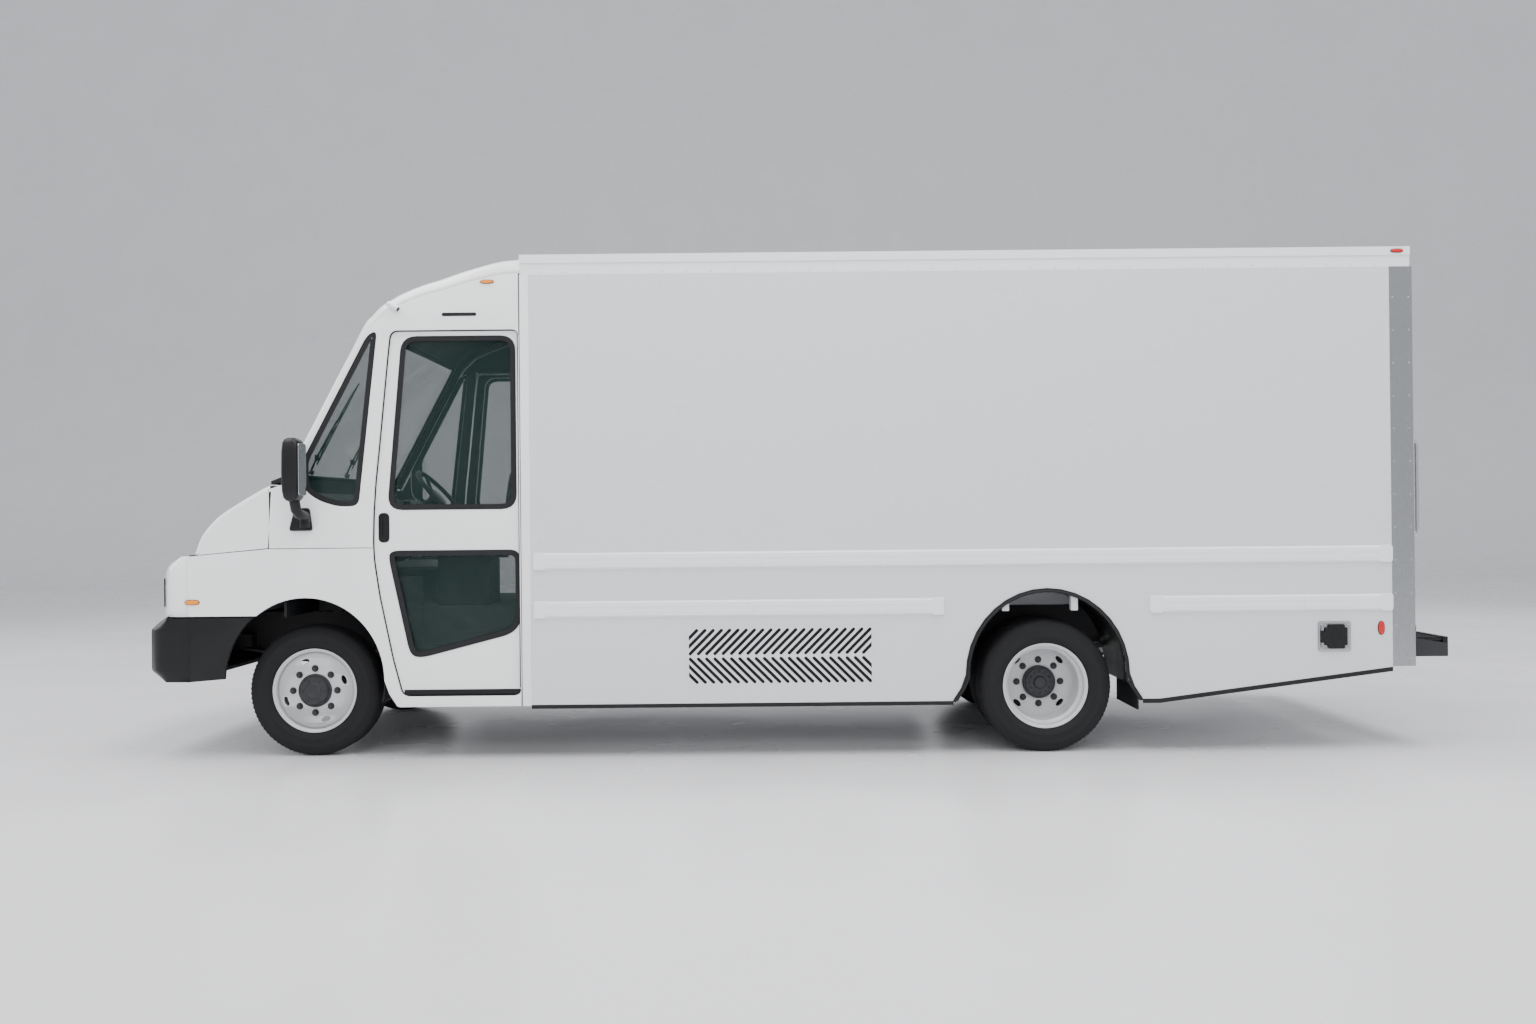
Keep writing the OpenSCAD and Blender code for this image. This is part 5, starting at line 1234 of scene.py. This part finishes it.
def build_dashboard():
    """Instrument hood and screen, air vents and a grab rail over the plain dashboard body."""
    x = AXLE_F + 0.262
    hood = Shape().plate([(x - 0.062, 1.545), (x + 0.012, 1.545), (x + 0.02, 1.55), (x + 0.035, 1.672),
                          (x + 0.03, 1.69), (x - 0.05, 1.705), (x - 0.10, 1.70), (x - 0.10, 1.6)],
                         -0.66, -0.24)
    for y in (-0.98, 0.02, 0.60):
        hood.loft([[(AXLE_F + 0.352, y + dy, 1.36 + dz) for dy, dz in
                    rounded([(-0.085, 0), (0.085, 0), (0.085, 0.075), (-0.085, 0.075)], 0.014)],
                   [(AXLE_F + 0.356, y + dy * 0.94, 1.363 + dz * 0.92) for dy, dz in
                    rounded([(-0.085, 0), (0.085, 0), (0.085, 0.075), (-0.085, 0.075)], 0.014)]])
    hood.piece("instrument_hood", DASH, "truck", "dash_plastic", soft=0.008)
    details = Shape()
    details.loft([[(x + 0.0175 + dx, y, z)
                   for y, z in rounded([(-0.63, 1.562), (-0.27, 1.562), (-0.27, 1.662),
                                                                 (-0.63, 1.662)], 0.012)]
                  for dx in (0.0, 0.012)])
    details.loft([[(AXLE_F + 0.353 + dx, y, z)
                   for y, z in rounded([(-0.13, 1.475), (0.14, 1.475), (0.14, 1.60),
                                                                   (-0.13, 1.60)], 0.012)]
                  for dx in (-0.05, 0.0)])
    details.piece("screens", GLOSS_BLACK, "truck", "black_plastic", soft=0.002)
    louvres = Shape()
    for y in (-0.98, 0.02, 0.60):
        for z in (1.375, 1.390, 1.405, 1.420):
            louvres.box((AXLE_F + 0.354, y - 0.072, z), (AXLE_F + 0.360, y + 0.072, z + 0.004))
    louvres.tube([(AXLE_F + 0.345, 0.30, 1.44), (AXLE_F + 0.385, 0.31, 1.445),
                  (AXLE_F + 0.385, 0.56, 1.445),
                  (AXLE_F + 0.345, 0.57, 1.44)], 0.009, 12)
    louvres.piece("dash_louvres", BLACK, "truck", "black_plastic", soft=0.0008)


def cushion(name, low_corner, high_corner, corner, puff, seams, lean, pivot, body, gone):
    """Foam block: rounded edges, a domed face and stitched grooves, then a subdivision surface."""
    bm = bmesh.new()
    bmesh.ops.create_cube(bm, size=2)
    bmesh.ops.subdivide_edges(bm, edges=bm.edges, cuts=26, use_grid_fill=True)
    lo, hi = Vector(low_corner), Vector(high_corner)
    half, mid = (hi - lo) / 2, (hi + lo) / 2
    face_axis = min(range(3), key=lambda k: half[k])
    others = [k for k in range(3) if k != face_axis]
    for vert in bm.verts:
        p = Vector([vert.co[k] * half[k] for k in range(3)])
        inner = Vector([max(-(half[k] - corner), min(half[k] - corner, p[k])) for k in range(3)])
        away = p - inner
        if away.length > 1e-9:
            p = inner + away.normalized() * corner
        dome = (1 - (p[others[0]] / half[others[0]]) ** 2) * (1 - (p[others[1]] / half[others[1]]) ** 2)
        depth = puff * (1 - max(0, dome) ** 0.6)
        for axis, place in seams:
            depth += 0.007 * math.exp(-((p[axis] - place) / 0.009) ** 2) * min(1, max(0, dome) * 5)
        p[face_axis] -= math.copysign(depth, p[face_axis]) * (abs(p[face_axis]) / half[face_axis])
        vert.co = p + mid
    bmesh.ops.rotate(bm, cent=pivot, matrix=Matrix.Rotation(lean, 3, "Y"), verts=bm.verts)
    mesh = bpy.data.meshes.new(name)
    bm.to_mesh(mesh)
    bm.free()
    mesh.shade_smooth()
    mesh.materials.append(FABRIC)
    obj = bpy.data.objects.new(name, mesh)
    bpy.context.scene.collection.objects.link(obj)
    smooth = obj.modifiers.new("smooth", "SUBSURF")
    smooth.levels = smooth.render_levels = 1
    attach(obj, body)
    if gone:
        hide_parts(*gone)
    return obj


def build_seat():
    """Seat cushion, leaned backrest and headrest with their seams and side shells."""
    lo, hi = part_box("seat_cushion")
    cushion("seat_cushion_pad", (lo.x, lo.y, lo.z), (hi.x, hi.y, hi.z), 0.045, 0.022,
            ((1, -0.13), (1, 0.13), (0, 0.10)), 0.0, (0, 0, 0), "seat", ("seat_cushion",))
    pivot = Vector((AXLE_F + 1.084, -0.45, 1.31))
    lean = math.radians(8)
    base = pivot + Vector((-0.015, 0, 0))
    cushion("backrest_pad", (base.x, -0.685, 1.315), (base.x + 0.075, -0.215, 1.78), 0.034, 0.014,
            ((1, -0.13), (1, 0.13), (2, 0.02)), lean, pivot, "seat_back", ("seat_back",))
    cushion("headrest_pad", (base.x + 0.004, -0.565, 1.80), (base.x + 0.07, -0.335, 1.943), 0.032,
            0.01, (), lean,
            pivot, "seat_back", ())
    shell = Shape()
    for y in (-0.7046, -0.1954):
        shell.plate(rounded(rectangle(pivot.x - 0.07, pivot.x + 0.05, 1.28, 1.37), 0.02), y - 0.004,
                    y + 0.004)
        shell.bar((pivot.x + 0.02, y - 0.015, 1.33), (pivot.x + 0.02, y + 0.015, 1.33), 0.012)
    for y in (-0.50, -0.40):
        a, b = Vector((base.x + 0.04, y, 1.76)), Vector((base.x + 0.04, y, 1.83))
        turn = Matrix.Rotation(lean, 3, "Y")
        shell.bar(turn @ (a - pivot) + pivot, turn @ (b - pivot) + pivot, 0.007)
    shell.piece("recliner", BLACK, "seat_back", "black_plastic", soft=0.001)
    piping = Shape()
    for y in (lo.y + 0.012, hi.y - 0.012):
        piping.tube([(lo.x + 0.03, y, hi.z - 0.028), (lo.x + 0.12, y, hi.z - 0.020),
                     (hi.x - 0.12, y, hi.z - 0.020),
                     (hi.x - 0.03, y, hi.z - 0.028)], 0.0035, 8)
    piping.piece("seat_piping", SEAL, "seat", "seat_fabric", soft=0)


# ---------------------------------------------------------------- side vent, inlet and rear end


def build_vent():
    """Dark finned backing behind the slots."""
    x0, x1 = low("vent_grille").x, high("vent_grille").x
    z0, z1 = low("vent_grille").z, high("vent_grille").z
    backing = Shape().box((x0, -HALF_W + 0.016, z0), (x1, -HALF_W + 0.02, z1))
    for k in range(20):
        z = z0 + 0.012 + (z1 - z0) * k / 20
        backing.box((x0, -HALF_W + 0.0125, z), (x1, -HALF_W + 0.0165, z + 0.006))
    backing.piece("vent_backing", SEAL, "truck", "black_plastic", soft=0)


def build_inlet():
    """Screws and a lip on the inlet plate; the cross-shaped cover with its ribs and rubber pull."""
    face = -HALF_W - 0.008
    x0, x1, z0, z1 = POST_X0 - 0.456, POST_X0 - 0.258, 0.608, 0.79
    lip = Shape().panel(rounded(rectangle(x0 + 0.004, x1 - 0.004, z0 + 0.004, z1 - 0.004), 0.012),
                        [rounded(rectangle(x0 + 0.01, x1 - 0.01, z0 + 0.01, z1 - 0.01), 0.009)],
                        face - 0.0015, face + 0.001, 0.0006)
    add_rivets(lip, [(x, face, z) for x in (x0 + 0.018, x1 - 0.018) for z in (z0 + 0.018, z1 - 0.018)],
               size=0.007, height=0.003)
    lip.piece("inlet_lip", STEEL, "truck", "inlet_silver", soft=0)
    mx, mz = (x0 + x1) / 2 + 0.008, (z0 + z1) / 2
    top = face - 0.015
    arms = Shape().panel(rounded(rectangle(mx - 0.070, mx + 0.066, mz - 0.055, mz + 0.055), 0.010), [],
                         top, face - 0.0004, 0.003)
    arms.panel(rounded(rectangle(mx - 0.050, mx + 0.050, mz - 0.074, mz + 0.074), 0.010), [],
               top + 0.0003, face - 0.0004, 0.003)
    arms.panel(ring_points(mx, mz, 0.027, 36), [ring_points(mx, mz, 0.019, 36)], top - 0.002,
               top + 0.002, 0.0008)
    for dx, dz in ((0.05, 0), (-0.05, 0), (0, 0.055), (0, -0.055)):
        arms.panel(rounded(rectangle(mx + dx - 0.008, mx + dx + 0.008, mz + dz - 0.008,
                                     mz + dz + 0.008), 0.003),
                   [], top - 0.002, top + 0.001, 0.0008)
    hinge_x, hinge_y = x0 + 0.022, face - 0.009
    arms.bar((hinge_x, hinge_y, mz - 0.036), (hinge_x, hinge_y, mz + 0.036), 0.008)
    arms.bar((hinge_x, hinge_y, mz - 0.062), (hinge_x, hinge_y, mz + 0.062), 0.003)
    arms.box((hinge_x, face - 0.014, mz - 0.03), (hinge_x + 0.02, face - 0.003, mz + 0.03))
    arms.piece("charge_cover_skin", BLACK, "charge_cover", "black_plastic", ("charge_cover",), soft=0)


def build_rear_door(name, side):
    """Pressed ribs, hinge straps, a seal and a grab handle on one rear door."""
    body = f"rear_door_{name}"
    lo = low("rear_door_left")
    x = POST_X1 - 0.002
    y0, y1, z0, z1 = lo.y + 0.008, -0.004, 0.905, ROOF - 0.122 - 0.15
    frame_piece = Shape()
    frame_piece.across(rectangle(y0 + 0.02, y1 - 0.02, z0 + 0.03, z0 + 0.09), x, x + 0.004)
    frame_piece.across(rectangle(y0 + 0.02, y1 - 0.02, z1 - 0.09, z1 - 0.03), x, x + 0.004)
    for z in (1.20, 1.55, 2.02, 2.36):
        frame_piece.across(rounded(rectangle(y0 + 0.06, y1 - 0.13, z, z + 0.05), 0.012), x, x + 0.005)
    for z in (1.10, 1.924, 2.548):
        frame_piece.across(rounded(rectangle(y0 + 0.0, y0 + 0.26, z - 0.03, z + 0.03), 0.01), x, x + 0.007)
    # The door ribs take the darkened white that paints shade on the cargo body.
    frame_piece.piece(f"rear_door_ribs_{name}", SHADED_SIDE_WHITE, body, "body_side", side=side, soft=0.002)
    bolts = Shape()
    add_rivets(bolts, [(x + 0.007, y0 + 0.07 + 0.075 * k, z + dz) for z in (1.10, 1.924, 2.548)
                       for k in range(3) for dz in (-0.016, 0.016)], (1, 0, 0), 0.007, 0.004)
    bolts.piece(f"rear_hinge_bolts_{name}", STEEL, body, "latch_steel", side=side, soft=0)
    seal = Shape()
    seal.across([(y0 - 0.005, z0 - 0.003), (y1 + 0.003, z0 - 0.003), (y1 + 0.003, z0 + 0.006),
                 (y0 - 0.005, z0 + 0.006)],
                x - 0.03, x + 0.001)
    seal.across([(y1 - 0.006, z0), (y1 + 0.0035, z0), (y1 + 0.0035, z1), (y1 - 0.006, z1)],
                x - 0.02, x + 0.0015)
    seal.piece(f"rear_door_seal_{name}", SEAL, body, "black_rubber", side=side, soft=0.001)
    handle = Shape().tube([(x, -0.30, 1.62), (x + 0.028, -0.30, 1.63), (x + 0.03, -0.30, 1.66),
                           (x + 0.03, -0.30, 1.84),
                           (x + 0.028, -0.30, 1.87), (x, -0.30, 1.88)], 0.008, 12)
    handle.piece(f"rear_grab_handle_{name}", BLACK, body, "black_plastic", side=side, soft=0)


def build_rear_end():
    """Grip bars and studs on the step, post handles and the rear doors' lock rod."""
    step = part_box("rear_step")
    grip = Shape()
    for k in range(9):
        x = step[1].x - 0.182 + 0.0185 * k
        grip.box((x, step[0].y + 0.01, 0.662), (x + 0.006, step[1].y - 0.01, 0.676))
    for k in range(17):
        y = step[0].y + 0.02 + (step[1].y - step[0].y - 0.04) * k / 16
        grip.box((step[1].x - 0.188, y - 0.003, 0.655), (step[1].x - 0.03, y + 0.003, 0.668))
    for s in (-1, 1):
        y = s * (HALF_W - 0.101)
        grip.plate([(step[1].x - 0.233, 0.561), (step[1].x - 0.001, 0.561), (step[1].x - 0.001, 0.64),
                    (step[1].x - 0.233, 0.679)], y - 0.004, y + 0.004)
    grip.piece("step_grating", FRAME_BLACK, "truck", "frame_black", soft=0.0008)
    studs = Shape()
    add_rivets(studs, [(step[1].x - 0.016 + dx, step[0].y + 0.05 + 0.07 * k, 0.68)
                       for k in range(30) for dx in (0.0,)], (0, 0, 1), 0.006, 0.003)
    studs.piece("step_studs", BLACK, "truck", "black_plastic", soft=0)
    rails = Shape()
    for s in (-1, 1):
        y = s * (HALF_W - 0.072)
        rails.tube([(POST_X1, y, 1.30), (POST_X1 + 0.05, y, 1.32), (POST_X1 + 0.052, y, 1.36),
                    (POST_X1 + 0.052, y, 1.84),
                    (POST_X1 + 0.05, y, 1.88), (POST_X1, y, 1.90)], 0.012, 14)
    rails.piece("post_grab_rails", STEEL, "truck", "latch_steel", soft=0)
    latch = Shape()
    x = POST_X1 + 0.016
    latch.bar((x, 0.07, 0.925), (x, 0.07, ROOF - 0.292), 0.009, 24)
    latch.tube([(x, 0.07, 1.412), (x + 0.002, 0.10, 1.412), (x + 0.004, 0.2, 1.412),
                (x + 0.004, 0.258, 1.412)], 0.0085, 12)
    latch.turn([(0.0095, -0.02), (0.016, -0.02), (0.016, 0.02), (0.0095, 0.02)], (x, 0.07, 1.412),
               (0, 0, 1), 28)
    for z in (0.935, ROOF - 0.31):
        latch.box((x - 0.006, 0.062, z - 0.008), (x + 0.012, 0.088, z + 0.008))
    latch.piece("lock_rod", STEEL, "latch", "latch_steel", ("rear_latch",), soft=0.001)


aim_camera()
build_studio()
dress_nodes()

build_cab_shell()
build_hood()
build_fascia()
build_bumper()
for name, side in SIDES:
    build_cab_side(name, side)
    build_door(name, side)
    build_front_wheel(name, side)
    build_rear_wheel(name, side)
    build_cargo_trim(name, side)
    build_lamps(name, side)
    build_cab_fittings(name, side)
    build_mirror(name, side)
    build_wiper(name, WIPER_Y[name])
    build_rear_door(name, side)
build_liners()
build_steering_wheel()
build_dashboard()
build_seat()
build_vent()
build_inlet()
build_rear_end()
